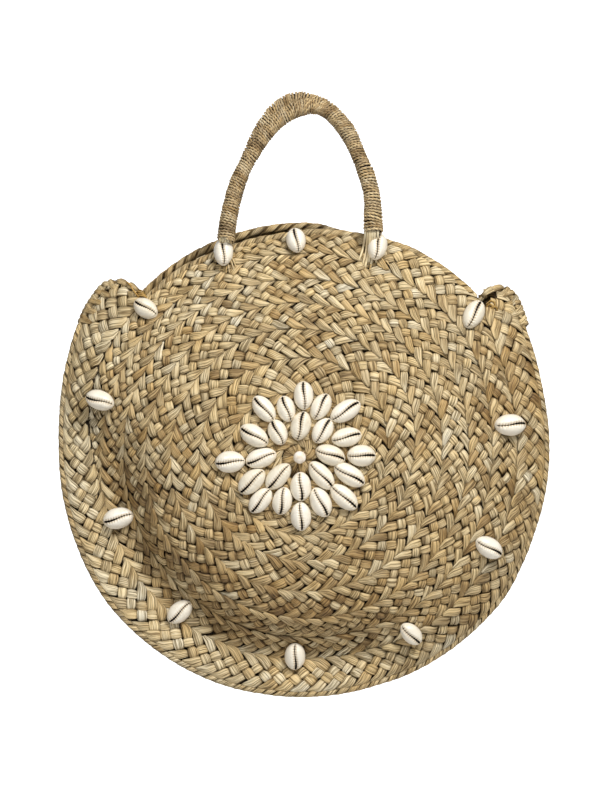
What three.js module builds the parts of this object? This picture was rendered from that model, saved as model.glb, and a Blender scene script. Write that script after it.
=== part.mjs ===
// Round straw bag: two plaited dishes joined along a plaited rim seam, an open
// mouth between two ears at the top, two twine-wrapped rope handles, and cowrie
// shells sewn on the front around a pearl bead.
// Millimetres, +Z up, the front faces -Y. The origin is the hang point: the
// underside of the handle crowns, where a hook or a hand carries the bag.
import * as THREE from "three";

// ---------------------------------------------------------------- dimensions
const HANG_Z = 509; // hang point above the lowest point of the rim
const DISC_Z = 217; // centre of the woven discs above the lowest point
const RIM_R = 216; // nominal outer radius of the rim
const MOUTH_R_FRONT = 193; // nominal radius of the front mouth edge
const MOUTH_R_BACK = 201; // radius of the back mouth edge
const CHORD_Z = 131; // ear-to-ear flex line above the disc centre
const WEAVE_T = 3.2; // thickness of the woven wall
const RIM_HALF = [9.0, 4.0]; // rim seam half sizes: front to back, radial
const EDGE_R = 3.0; // radius of the mouth edge ropes
const HANDLE_R = 7.3; // outer radius of the twine wrap
const CORE_R = 3.9; // radius of the rope core
const WRAP_INNER_R = 4.6;
const SHELL = { length: 22.6, width: 14.6, height: 8.6 };
const PEARL_R = 5.4;
const FIT_GAP = 0.4; // gap kept between neighbouring pieces

// Outer radius of the rim against angle: not quite a circle, with two ears.
const RIM = [
  [0, 12, 18, 24, 28, 32, 36, 40, 46, 52, 128, 134, 139, 143, 148, 153, 158, 163, 168, 174, 180, 192, 204, 219, 232, 250, 262, 274, 286, 297, 310, 324, 332, 342, 360],
  [215.4, 216, 217.4, 220, 221.8, 225.6, 227.6, 225.6, 219, 216, 216, 219, 226, 229.2, 229.2, 227.2, 224.2, 221.8, 219.4, 217.3, 216, 216.2, 217.2, 219.2, 218.8, 218.4, 217.2, 216.7, 216.2, 217.2, 217.7, 218.4, 216.4, 215, 215.4],
];
// The front mouth edge rises towards its right end and sags left of its middle.
const FRONT_RISE = [
  [0, 44, 50, 56, 62, 68, 75, 82, 88, 92, 98, 112, 126, 180],
  [9.4, 9.4, 8.4, 7.6, 6.8, 4.5, 2, 0.6, -0.5, -2, -3.6, -3.6, -0.8, 0],
];

// Depth of the dishes in front of the rim plane, against radius (rim at 216).
const DEPTH_SMOOTH = [
  [0, 60, 110, 150, 180, 198, 209, 216],
  [50, 49.6, 47.5, 41.5, 31, 20, 10.5, 2],
];
const DEPTH_CREASE = [
  [0, 60, 100, 118, 130, 142, 152, 161, 168, 174, 180, 190, 199, 206, 211, 216],
  [50, 49, 46.3, 43.4, 39.8, 33.6, 25.6, 16.2, 8.8, 4.4, 3, 5, 8.8, 10.6, 9.4, 5],
];
// Foot of the creased wall: radius against angle.
const CREASE_FOOT = [
  [0, 195, 210, 225, 240, 255, 270, 285, 300, 360],
  [165, 165.5, 166.5, 168, 172.5, 177, 178, 185, 188, 188],
];
const DEPTH_BACK = [
  [0, 118, 140, 165, 185, 200, 210, 216],
  [44, 44, 42.5, 37, 28, 18, 9.5, 2],
];

// Handle centre lines: x, height above the lowest point.
const FRONT_HANDLE = [
  [-67.2, 407.6], [-64.2, 430.3], [-58.9, 449.5], [-48.9, 469.6], [-29.7, 499.0], [-10.9, 513.7],
  [6.5, 518.4], [17.0, 516.0], [29.4, 504.9], [41.1, 486.6], [48.9, 469.8], [55.3, 452.1],
  [58.6, 436.0], [59.3, 412.5],
];
const BACK_HANDLE = [
  [-69.3, 412.0], [-64.9, 431.6], [-58.9, 451.9], [-49.5, 472.6], [-38.4, 495.6], [-25.6, 513.5],
  [-14.1, 523.0], [-5.2, 526.2], [4.9, 524.4], [18.6, 519.0], [30.1, 509.5], [39.3, 498.3],
  [45.5, 484.3], [52.0, 466.9], [57.9, 450.1], [61.2, 435.1], [61.4, 412.0],
];
const FRONT_FOOT_Y = -38.5; // handle feet stand on the outer faces
const FRONT_CROWN_Y = -8.2; // the two crowns lean together
const BACK_FOOT_Y = 37.5;
const BACK_CROWN_Y = 8.2;

// Cowries: name, x, z from the disc centre, direction of the long axis (degrees).
const COWRIES = [
  ["flower_outer_n", -0.9, 47.7, 90], ["flower_outer_nne", 13.9, 38.2, 59], ["flower_outer_ne", 35.1, 34.5, 30],
  ["flower_outer_ene", 36.0, 12.0, 11], ["flower_outer_e", 48.8, -3.8, -2], ["flower_outer_ese", 38.6, -20.3, -33],
  ["flower_outer_se", 33.9, -39.5, -43], ["flower_outer_sse", 13.8, -43.8, -67], ["flower_outer_s", -3.2, -56.0, -88],
  ["flower_outer_ssw", -19.1, -42.7, -103], ["flower_outer_sw", -38.0, -42.4, -131], ["flower_outer_wsw", -45.4, -26.0, -138],
  ["flower_outer_w", -64.1, -9.1, -177], ["flower_outer_wnw", -43.3, 13.4, 147], ["flower_outer_nw", -34.9, 36.3, 128],
  ["flower_outer_nnw", -15.9, 36.3, 105],
  ["flower_inner_n", -3.3, 21.8, 73], ["flower_inner_ne", 15.5, 17.7, 56], ["flower_inner_e", 22.1, -3.2, -21],
  ["flower_inner_se", 14.5, -20.8, -50], ["flower_inner_s", -3.3, -30.4, -90], ["flower_inner_sw", -22.6, -21.6, -134],
  ["flower_inner_w", -37.4, -5.9, -163], ["flower_inner_nw", -23.1, 16.3, 112],
  ["border_01", 62.8, 175.9, 74], ["border_02", 146.0, 117.7, 59], ["border_03", 177.1, 22.4, 0],
  ["border_04", 158.9, -83.3, -32], ["border_05", 92.6, -157.8, -49], ["border_06", -8.3, -179.0, -93],
  ["border_07", -109.4, -141.5, -140], ["border_08", -163.0, -59.4, -167], ["border_09", -176.5, 44.1, 162],
  ["border_10", -137.4, 122.9, 145], ["border_11", -69.9, 171.6, 90], ["border_12", -7.4, 181.9, 99],
];
const PEARL_AT = [-4.2, -5.1];
const LASHING_T = 6.0; // thickness of the raffia lashing over a handle tail
const LASHING_LIFT = 2.2; // it passes over the mouth edge rope

// ---------------------------------------------------------------- materials
const straw = new THREE.MeshStandardMaterial({ color: 0xc4aa7c, roughness: 0.75, metalness: 0 });
const twine = new THREE.MeshStandardMaterial({ color: 0xaa9169, roughness: 0.85, metalness: 0 });
const rope = new THREE.MeshStandardMaterial({ color: 0x9a815a, roughness: 0.9, metalness: 0 });
const raffia = new THREE.MeshStandardMaterial({ color: 0xd8c49a, roughness: 0.7, metalness: 0 });
const cowrie = new THREE.MeshStandardMaterial({ color: 0xefe8da, roughness: 0.35, metalness: 0 });
const pearl = new THREE.MeshStandardMaterial({ color: 0xf3ead8, roughness: 0.2, metalness: 0 });

// ---------------------------------------------------------------- the woven surface
const deg = Math.PI / 180;

// Monotone cubic through a table of points.
function curveThrough([xs, ys]) {
  const n = xs.length,
    h = [],
    d = [],
    m = new Array(n).fill(0);
  for (let i = 0; i < n - 1; i++) {
    h.push(xs[i + 1] - xs[i]);
    d.push((ys[i + 1] - ys[i]) / h[i]);
  }
  m[n - 1] = d[n - 2];
  for (let i = 1; i < n - 1; i++) {
    if (d[i - 1] * d[i] > 0) {
      const w1 = 2 * h[i] + h[i - 1],
        w2 = h[i] + 2 * h[i - 1];
      m[i] = (w1 + w2) / (w1 / d[i - 1] + w2 / d[i]);
    }
  }
  return (x) => {
    if (x <= xs[0]) return ys[0];
    if (x >= xs[n - 1]) return ys[n - 1] + m[n - 1] * (x - xs[n - 1]);
    let i = 0;
    while (x > xs[i + 1]) i++;
    const t = (x - xs[i]) / h[i],
      u = 1 - t;
    return ys[i] * (1 + 2 * t) * u * u + m[i] * h[i] * t * u * u + ys[i + 1] * t * t * (3 - 2 * t) + m[i + 1] * h[i] * t * t * (t - 1);
  };
}
const smoothDepth = curveThrough(DEPTH_SMOOTH),
  creaseDepth = curveThrough(DEPTH_CREASE),
  creaseFoot = curveThrough(CREASE_FOOT),
  backDepth = curveThrough(DEPTH_BACK),
  rimRadius = curveThrough(RIM),
  frontRise = curveThrough(FRONT_RISE);

function step(a, b, x) {
  const t = Math.min(1, Math.max(0, (x - a) / (b - a)));
  return t * t * (3 - 2 * t);
}
const angleOf = (x, z) => (Math.atan2(z, x) / deg + 360) % 360;

// The mouth's own profile takes over between the ears, and fades at the rim.
const mouthWeight = (th, q, edge) => step(14, 70, th) * (1 - step(110, 166, th)) * (1 - step(edge, edge + 17, q));

// How far the front dish stands in front of the rim plane. Its lower left is
// creased: the crown stops in a short wall and a flat brim runs on to the rim.
function frontDepth(x, z) {
  const r = Math.hypot(x, z),
    th = angleOf(x, z),
    q = (r / rimRadius(th)) * RIM_R;
  const crease = step(160, 200, th) * (1 - step(280, 314, th));
  // the foot of the wall wanders in and out
  const foot = creaseFoot(th);
  let c = q;
  if (q >= 100 && q <= 204) c = q < foot ? 100 + ((q - 100) * 75) / (foot - 100) : 175 + ((q - foot) * 29) / (204 - foot);
  const seam = (1 - crease) * smoothDepth(q) + crease * creaseDepth(c);
  const mouth = 50 - 23.5 * (r / MOUTH_R_FRONT) ** 2.2;
  const m = mouthWeight(th, q, 194);
  return (1 - m) * seam + m * mouth;
}
// How far the back dish stands behind it. Its crown is flat.
function rearDepth(x, z) {
  const r = Math.hypot(x, z),
    th = angleOf(x, z),
    q = (r / rimRadius(th)) * RIM_R;
  const t = Math.max(0, (r - 118) / (MOUTH_R_BACK - 118));
  const m = mouthWeight(th, q, 199);
  return (1 - m) * backDepth(q) + m * (44 - 18 * t ** 1.6);
}
const frontY = (x, z) => -frontDepth(x, z);
const rearY = (x, z) => rearDepth(x, z);

// ---------------------------------------------------------------- solids
// A closed mesh from points and triangles, turned so that its faces point out.
function closed(points, triangles) {
  let volume = 0;
  const a = new THREE.Vector3(),
    b = new THREE.Vector3(),
    c = new THREE.Vector3();
  for (const [i, j, k] of triangles) {
    a.fromArray(points[i]);
    b.fromArray(points[j]);
    c.fromArray(points[k]);
    volume += a.dot(b.cross(c));
  }
  const geometry = new THREE.BufferGeometry();
  geometry.setAttribute("position", new THREE.BufferAttribute(new Float32Array(points.flat()), 3));
  geometry.setIndex(triangles.map(([i, j, k]) => (volume < 0 ? [i, k, j] : [i, j, k])).flat());
  geometry.computeVertexNormals();
  return geometry;
}

// A woven wall over a region that is star-shaped about the disc centre.
// outline lists its boundary as x, z; rings are shares of the way out to it.
function starWall(outline, rings, yOf) {
  const n = outline.length,
    points = [],
    triangles = [],
    half = WEAVE_T / 2;
  for (const side of [-half, half]) {
    const base = points.length;
    points.push([0, yOf(0, 0) + side, DISC_Z - HANG_Z]);
    for (const s of rings)
      for (const [x, z] of outline) points.push([s * x, yOf(s * x, s * z) + side, s * z + DISC_Z - HANG_Z]);
    const at = (ring, i) => base + 1 + ring * n + ((i + n) % n);
    const put = (i, j, k) => triangles.push(side < 0 ? [i, j, k] : [i, k, j]);
    for (let i = 0; i < n; i++) {
      put(base, at(0, i), at(0, i + 1));
      for (let g = 0; g < rings.length - 1; g++) {
        put(at(g, i), at(g + 1, i), at(g + 1, i + 1));
        put(at(g, i), at(g + 1, i + 1), at(g, i + 1));
      }
    }
  }
  const second = 1 + rings.length * n,
    last = 1 + (rings.length - 1) * n;
  for (let i = 0; i < n; i++) {
    const j = (i + 1) % n;
    triangles.push([last + i, second + last + i, second + last + j], [last + i, second + last + j, last + j]);
  }
  return closed(points, triangles);
}

// A woven wall between the flex line and a mouth edge whose radius is given
// against angle.
function flapWall(edgeR, halfWidth, nx, nz, yOf) {
  const topAt = (x) => {
    let z = 150;
    for (let i = 0; i < 12; i++) z = Math.sqrt(edgeR(angleOf(x, z)) ** 2 - x * x);
    return z;
  };
  const points = [],
    triangles = [],
    half = WEAVE_T / 2,
    low = CHORD_Z + FIT_GAP;
  for (const side of [-half, half])
    for (let i = 0; i <= nx; i++)
      for (let j = 0; j <= nz; j++) {
        const x = -halfWidth + (2 * halfWidth * i) / nx,
          z = low + (j / nz) * (topAt(x) - low);
        points.push([x, yOf(x, z) + side, z + DISC_Z - HANG_Z]);
      }
  const count = (nx + 1) * (nz + 1),
    at = (s, i, j) => s * count + i * (nz + 1) + j;
  const quad = (a, b, c, d) => triangles.push([a, b, c], [a, c, d]);
  for (let i = 0; i < nx; i++)
    for (let j = 0; j < nz; j++) {
      quad(at(0, i, j), at(0, i + 1, j), at(0, i + 1, j + 1), at(0, i, j + 1));
      quad(at(1, i, j), at(1, i, j + 1), at(1, i + 1, j + 1), at(1, i + 1, j));
    }
  for (let i = 0; i < nx; i++) {
    quad(at(1, i, 0), at(1, i + 1, 0), at(0, i + 1, 0), at(0, i, 0));
    quad(at(0, i, nz), at(0, i + 1, nz), at(1, i + 1, nz), at(1, i, nz));
  }
  for (let j = 0; j < nz; j++) {
    quad(at(0, 0, j), at(0, 0, j + 1), at(1, 0, j + 1), at(1, 0, j));
    quad(at(1, nx, j), at(1, nx, j + 1), at(0, nx, j + 1), at(0, nx, j));
  }
  return closed(points, triangles);
}

function ellipse(a, b, sides) {
  const shape = new THREE.Shape();
  for (let i = 0; i < sides; i++) {
    const t = (2 * Math.PI * i) / sides,
      x = a * Math.cos(t),
      y = b * Math.sin(t);
    if (i) shape.lineTo(x, y);
    else shape.moveTo(x, y);
  }
  shape.closePath();
  return shape;
}
const tube = (shape, path, steps) => new THREE.ExtrudeGeometry(shape, { steps, extrudePath: path, bevelEnabled: false });
const pathOf = (points) => new THREE.CatmullRomCurve3(points.map((p) => new THREE.Vector3(...p)));

const bag = new THREE.Group();
function piece(name, geometry, material, parent = bag) {
  const mesh = new THREE.Mesh(geometry, material);
  mesh.name = name;
  parent.add(mesh);
  return mesh;
}

// ---------------------------------------------------------------- woven walls
// Outline of the wall below the flex line: the rim, then the flex line back.
function wallOutline(rimSteps, chordSteps) {
  const edge = (th) => rimRadius((th + 360) % 360) - 2 * RIM_HALF[1] - 0.3 - FIT_GAP;
  const corner = (from, to) => {
    let a = from,
      b = to;
    for (let i = 0; i < 60; i++) {
      const mid = (a + b) / 2;
      if (edge(mid) * Math.sin(mid * deg) > CHORD_Z - FIT_GAP / 2) b = mid;
      else a = mid;
    }
    return a;
  };
  const right = corner(10, 60),
    left = 180 - corner2();
  function corner2() {
    let a = 10,
      b = 60;
    for (let i = 0; i < 60; i++) {
      const mid = (a + b) / 2;
      if (edge(180 - mid) * Math.sin(mid * deg) > CHORD_Z - FIT_GAP / 2) b = mid;
      else a = mid;
    }
    return a;
  }
  const outline = [];
  for (let i = 0; i <= rimSteps; i++) {
    const th = right - ((right + 360 - left) * i) / rimSteps,
      r = edge(th);
    outline.push([r * Math.cos(th * deg), r * Math.sin(th * deg)]);
  }
  const [x1, z1] = outline[rimSteps],
    [x0, z0] = outline[0];
  for (let i = 1; i < chordSteps; i++) outline.push([x1 + ((x0 - x1) * i) / chordSteps, z1 + ((z0 - z1) * i) / chordSteps]);
  return outline;
}
const frontEdge = (th) => MOUTH_R_FRONT + frontRise(th);
piece("front_panel", starWall(wallOutline(44, 14), [0.3, 0.5, 0.63, 0.7, 0.745, 0.79, 0.835, 0.88, 0.93, 1], frontY), straw);
piece("back_panel", starWall(wallOutline(40, 12), [0.28, 0.54, 0.7, 0.8, 0.88, 0.94, 1], rearY), straw);
piece("front_mouth_flap", flapWall((th) => frontEdge(th) - 2 * EDGE_R - FIT_GAP, 122, 18, 4, frontY), straw);
piece("back_mouth_flap", flapWall(() => MOUTH_R_BACK - 2 * EDGE_R - FIT_GAP, 132, 16, 4, rearY), straw);

// ---------------------------------------------------------------- rim seam and ears
const seamPoints = [];
for (let i = 0; i <= 72; i++) {
  const th = 35.0 - (249.6 * i) / 72,
    r = rimRadius((th + 360) % 360) - RIM_HALF[1] - 0.3;
  seamPoints.push([r * Math.cos(th * deg), 0, r * Math.sin(th * deg) + DISC_Z - HANG_Z]);
}
piece("rim_seam", tube(ellipse(...RIM_HALF, 8), pathOf(seamPoints), 72), straw);

// The ears: blunt knobs of turned strand ends that close the top of the seam.
function ear(name, x, tilt) {
  const g = new THREE.SphereGeometry(1, 14, 8);
  const p = g.getAttribute("position");
  for (let i = 0; i < p.count; i++) {
    // a knob with a flat foot, rounded above
    const y = p.getY(i);
    p.setY(i, y < 0 ? 0.08 * y : y);
  }
  g.scale(21, 16.4, 13).rotateX(Math.PI / 2);
  const mesh = piece(name, g, straw);
  mesh.rotation.y = tilt;
  mesh.position.set(x, 0, CHORD_Z + 3.4 + DISC_Z - HANG_Z);
}
ear("left_ear", -172.0, 0.0);
ear("right_ear", 171.0, 0.0);

// ---------------------------------------------------------------- mouth edges
function mouthEdge(name, radius, from, to, yOf) {
  const points = [];
  for (let i = 0; i <= 28; i++) {
    const th = from + ((to - from) * i) / 28,
      r = radius(th) - EDGE_R,
      x = r * Math.cos(th * deg),
      z = r * Math.sin(th * deg);
    points.push([x, yOf(x, z), z + DISC_Z - HANG_Z]);
  }
  piece(name, tube(ellipse(EDGE_R, EDGE_R, 7), pathOf(points), 28), straw);
}
mouthEdge("front_mouth_edge", frontEdge, 134, 44.6, frontY);
mouthEdge("back_mouth_edge", () => MOUTH_R_BACK, 136.4, 43.6, rearY);

// ---------------------------------------------------------------- handles
function handle(name, line, footY, crownY) {
  const foot = Math.min(line[0][1], line[line.length - 1][1]),
    top = Math.max(...line.map(([, h]) => h));
  const path = pathOf(
    line.map(([x, h]) => {
      const t = (h - foot) / (top - foot);
      return [x, footY + (crownY - footY) * Math.max(0, t) ** 1.15, h - HANG_Z];
    }),
  );
  const sleeve = ellipse(HANDLE_R, HANDLE_R, 9);
  sleeve.holes.push(ellipse(WRAP_INNER_R, WRAP_INNER_R, 9));
  piece(name + "_wrap", tube(sleeve, path, 30), twine);
  piece(name + "_core", tube(ellipse(CORE_R, CORE_R, 7), path, 30), rope);
}
handle("front_handle", FRONT_HANDLE, FRONT_FOOT_Y, FRONT_CROWN_Y);
handle("back_handle", BACK_HANDLE, BACK_FOOT_Y, BACK_CROWN_Y);

// Where a solid stands on a dish: its place, and axes along, across and outward.
function standOn(yOf, x, z, outward, angle, lift) {
  const e = 0.5,
    dx = (yOf(x + e, z) - yOf(x - e, z)) / (2 * e),
    dz = (yOf(x, z + e) - yOf(x, z - e)) / (2 * e);
  const n = new THREE.Vector3(-dx, 1, -dz).normalize().multiplyScalar(outward);
  const a = Math.cos(angle * deg),
    b = Math.sin(angle * deg);
  const along = new THREE.Vector3(a, dx * a + dz * b, b).normalize();
  const across = new THREE.Vector3().crossVectors(n, along);
  const place = new THREE.Vector3(x, yOf(x, z) + (outward * WEAVE_T) / 2, z + DISC_Z - HANG_Z).addScaledVector(n, lift);
  return new THREE.Matrix4().makeBasis(along, across, n).setPosition(place);
}

// The lift that keeps a flat oval foot clear of the dish below it.
function clearLift(yOf, x, z, outward, angle, length, width, gap) {
  const m = standOn(yOf, x, z, outward, angle, 0).elements;
  let lift = 0;
  for (let i = 0; i < 16; i++)
    for (const s of [0.5, 1]) {
      const u = (s * length * Math.cos((i * Math.PI) / 8)) / 2,
        v = (s * width * Math.sin((i * Math.PI) / 8)) / 2;
      const [px, py, pz] = [0, 1, 2].map((k) => m[12 + k] + u * m[k] + v * m[4 + k]);
      const wall = yOf(px, pz - DISC_Z + HANG_Z) + (outward * WEAVE_T) / 2;
      lift = Math.max(lift, (wall - py) * outward * Math.abs(m[9]));
    }
  return lift + gap;
}

// A low dome with a flat foot, longest along X, standing on its XY plane.
function dome(length, width, height, taper, around = 10, rows = 5) {
  const g = new THREE.SphereGeometry(1, around, rows).rotateX(Math.PI / 2);
  const p = g.getAttribute("position");
  for (let i = 0; i < p.count; i++) {
    const x = p.getX(i),
      y = p.getY(i),
      z = p.getZ(i);
    p.setXYZ(i, (x * length) / 2, ((y * width) / 2) * (1 - taper * x), z < 0 ? 0.06 * z * height : z * height);
  }
  return g;
}

// ---------------------------------------------------------------- handle lashings
function lashing(name, yOf, outward, x, topZ, length) {
  const mesh = piece(name, dome(length, 15, LASHING_T, 0, 12, 5), raffia);
  const z = topZ - DISC_Z - length / 2;
  mesh.applyMatrix4(standOn(yOf, x, z, outward, 90, clearLift(yOf, x, z, outward, 90, length, 15, LASHING_LIFT)));
}
lashing("front_left_lashing", frontY, -1, -67.2, 399.4, 23);
lashing("front_right_lashing", frontY, -1, 59.3, 404.2, 23);
lashing("back_left_lashing", rearY, 1, -69.3, 403.8, 26);
lashing("back_right_lashing", rearY, 1, 61.4, 403.8, 26);

// ---------------------------------------------------------------- shells and pearl
for (const [name, x, z, angle] of COWRIES) {
  const overLashing = name === "border_11" || name === "border_01";
  const mesh = piece("cowrie_" + name, dome(SHELL.length, SHELL.width, SHELL.height, 0.1), cowrie);
  const onCrease = name === "border_05" || name === "border_06" || name === "border_07" || name === "border_08";
  const gap = overLashing ? LASHING_LIFT + LASHING_T + 0.8 : name === "border_12" || onCrease ? 2.6 : 1.2;
  mesh.applyMatrix4(standOn(frontY, x, z, -1, angle, clearLift(frontY, x, z, -1, angle, SHELL.length, SHELL.width, gap)));
}
const bead = piece("pearl_bead", new THREE.IcosahedronGeometry(PEARL_R, 1), pearl);
bead.applyMatrix4(standOn(frontY, ...PEARL_AT, -1, 0, PEARL_R + 0.8));

export default bag;
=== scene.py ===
import math

import bpy
import numpy as np
from mathutils import Matrix, Vector


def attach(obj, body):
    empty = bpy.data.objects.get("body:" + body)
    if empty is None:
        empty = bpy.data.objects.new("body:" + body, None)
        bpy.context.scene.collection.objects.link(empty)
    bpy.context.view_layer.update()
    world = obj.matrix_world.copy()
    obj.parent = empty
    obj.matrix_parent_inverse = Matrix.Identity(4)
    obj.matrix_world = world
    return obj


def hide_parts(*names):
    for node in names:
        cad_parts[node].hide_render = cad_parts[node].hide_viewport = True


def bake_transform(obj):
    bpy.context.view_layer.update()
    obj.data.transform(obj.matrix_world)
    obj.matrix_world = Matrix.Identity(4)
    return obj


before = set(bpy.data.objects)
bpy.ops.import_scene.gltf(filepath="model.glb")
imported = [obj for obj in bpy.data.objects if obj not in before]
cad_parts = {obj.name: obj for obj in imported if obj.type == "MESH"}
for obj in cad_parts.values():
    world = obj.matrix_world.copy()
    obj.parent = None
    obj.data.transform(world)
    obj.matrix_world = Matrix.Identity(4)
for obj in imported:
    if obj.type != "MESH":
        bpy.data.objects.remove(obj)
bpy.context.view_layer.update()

# ---------------------------------------------------------------------------
# Straw bag: two plaited dishes, plaited rim, twine-wrapped handles, cowries.
# All lengths below are millimetres unless a name says otherwise; meshes are
# scaled to metres when they are made. zc is height above the disc's centre.
# ---------------------------------------------------------------------------
MM = 0.001
HANG_Z = 509.0          # handle crown (frame origin) above the bag's bottom
DISC_Z = 217.0          # disc centre above the bag's bottom
Z0 = DISC_Z - HANG_Z    # world z = zc + Z0
RNG = np.random.default_rng(20417)


def sstep(a, b, x):
    t = np.clip((np.asarray(x, float) - a) / (b - a), 0.0, 1.0)
    return t * t * (3.0 - 2.0 * t)


def pchip(xs, ys):
    xs, ys = np.array(xs, float), np.array(ys, float)
    h, d = np.diff(xs), np.diff(ys) / np.diff(xs)
    m = np.zeros_like(ys)
    for i in range(1, len(xs) - 1):
        if d[i - 1] * d[i] > 0:
            w1, w2 = 2 * h[i] + h[i - 1], h[i] + 2 * h[i - 1]
            m[i] = (w1 + w2) / (w1 / d[i - 1] + w2 / d[i])
    m[-1] = d[-1]

    def f(x):
        x = np.asarray(x, float)
        i = np.clip(np.searchsorted(xs, x, side="right") - 1, 0, len(h) - 1)
        t = (x - xs[i]) / h[i]
        tc = np.clip(t, 0, 1)
        y = ((1 + 2 * tc) * (1 - tc) ** 2 * ys[i] + tc * (1 - tc) ** 2 * h[i] * m[i]
             + tc * tc * (3 - 2 * tc) * ys[i + 1] + tc * tc * (tc - 1) * h[i] * m[i + 1])
        return y + np.where(x > xs[-1], (x - xs[-1]) * m[-1], 0.0)

    return f


SMOOTH = pchip([0, 60, 110, 150, 180, 198, 209, 216], [50, 49.6, 47.5, 41.5, 31, 20, 10.5, 2])
CREASE = pchip([0, 60, 100, 118, 130, 142, 152, 161, 168, 174, 180, 190, 199, 206, 211, 216],
               [50, 49, 46.3, 43.4, 39.8, 33.6, 25.6, 16.2, 8.8, 4.4, 3, 5, 8.8, 10.6, 9.4, 5])
FOOT = pchip([0, 195, 210, 225, 240, 255, 270, 285, 300, 360], [165, 165.5, 166.5, 168, 172.5, 177, 178, 185, 188, 188])
BACK = pchip([0, 118, 140, 165, 185, 200, 210, 216], [44, 44, 42.5, 37, 28, 18, 9.5, 2])


# outer radius of the rim by angle: not quite a circle, with two ears
rim_radius = pchip([0, 12, 18, 24, 28, 32, 36, 40, 46, 52, 128, 134, 139, 143, 148, 153, 158, 163, 168, 174, 180, 192,
                    204, 219, 232, 250, 262, 274, 286, 297, 310, 324, 332, 342, 360],
                   [215.4, 216, 217.4, 220, 221.8, 225.6, 227.6, 225.6, 219, 216, 216, 219, 226, 229.2, 229.2, 227.2,
                    224.2, 221.8, 219.4, 217.3, 216, 216.2, 217.2, 219.2, 218.8, 218.4, 217.2, 216.7, 216.2, 217.2,
                    217.7, 218.4, 216.4, 215, 215.4])
# the front mouth edge rises towards its right end and sags left of its middle
FRONT_RISE = pchip([0, 44, 50, 56, 62, 68, 75, 82, 88, 92, 98, 112, 126, 180],
                   [9.4, 9.4, 8.4, 7.6, 6.8, 4.5, 2, 0.6, -0.5, -2, -3.6, -3.6, -0.8, 0])


def polar(x, z):
    return np.hypot(x, z), np.degrees(np.arctan2(z, x)) % 360.0


def front_depth(x, z):
    r, th = polar(x, z)
    q = r / rim_radius(th) * 216.0
    wc = sstep(160, 200, th) * (1 - sstep(280, 314, th))
    # the foot of the wall wanders in and out
    foot = FOOT(th)
    qc = np.where(q < foot, 100 + (q - 100) * 75 / (foot - 100), 175 + (q - foot) * 29 / (204 - foot))
    d = (1 - wc) * SMOOTH(q) + wc * CREASE(np.where((q < 100) | (q > 204), q, qc))
    wm = sstep(14, 70, th) * (1 - sstep(110, 166, th)) * (1 - sstep(194, 211, q))
    dm = 50.0 - 23.5 * (r / 193.0) ** 2.2
    return (1 - wm) * d + wm * dm


def back_depth(x, z):
    r, th = polar(x, z)
    q = r / rim_radius(th) * 216.0
    d = BACK(q)
    wm = sstep(14, 70, th) * (1 - sstep(110, 166, th)) * (1 - sstep(199, 216, q))
    t = np.maximum(0.0, (r - 118.0) / 83.0)
    return (1 - wm) * d + wm * (44.0 - 18.0 * t ** 1.6)


def surface(side, x, z, e=0.6):
    """World point (mm) and outward normal of a dish at (x, zc)."""
    f = front_depth if side < 0 else back_depth
    x, z = np.asarray(x, float), np.asarray(z, float)
    d = f(x, z)
    dx = (f(x + e, z) - f(x - e, z)) / (2 * e)
    dz = (f(x, z + e) - f(x, z - e)) / (2 * e)
    p = np.stack([x, side * d, z + Z0], -1)
    n = np.stack([-dx, side * np.ones_like(dx), -dz], -1)
    return p, n / np.linalg.norm(n, axis=-1, keepdims=True)


def unit(v):
    return v / np.maximum(np.linalg.norm(v, axis=-1, keepdims=True), 1e-12)


def wavy(s, seed, waves=((0.021, 1.0), (0.053, 0.6), (0.11, 0.35))):
    """Smooth repeatable noise along a length, roughly -1..1."""
    r = np.random.default_rng(seed)
    out = np.zeros_like(np.asarray(s, float))
    for k, a in waves:
        out += a * np.sin(2 * math.pi * k * s * r.uniform(0.75, 1.3) + r.uniform(0, 6.28))
    return out / 1.6


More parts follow.
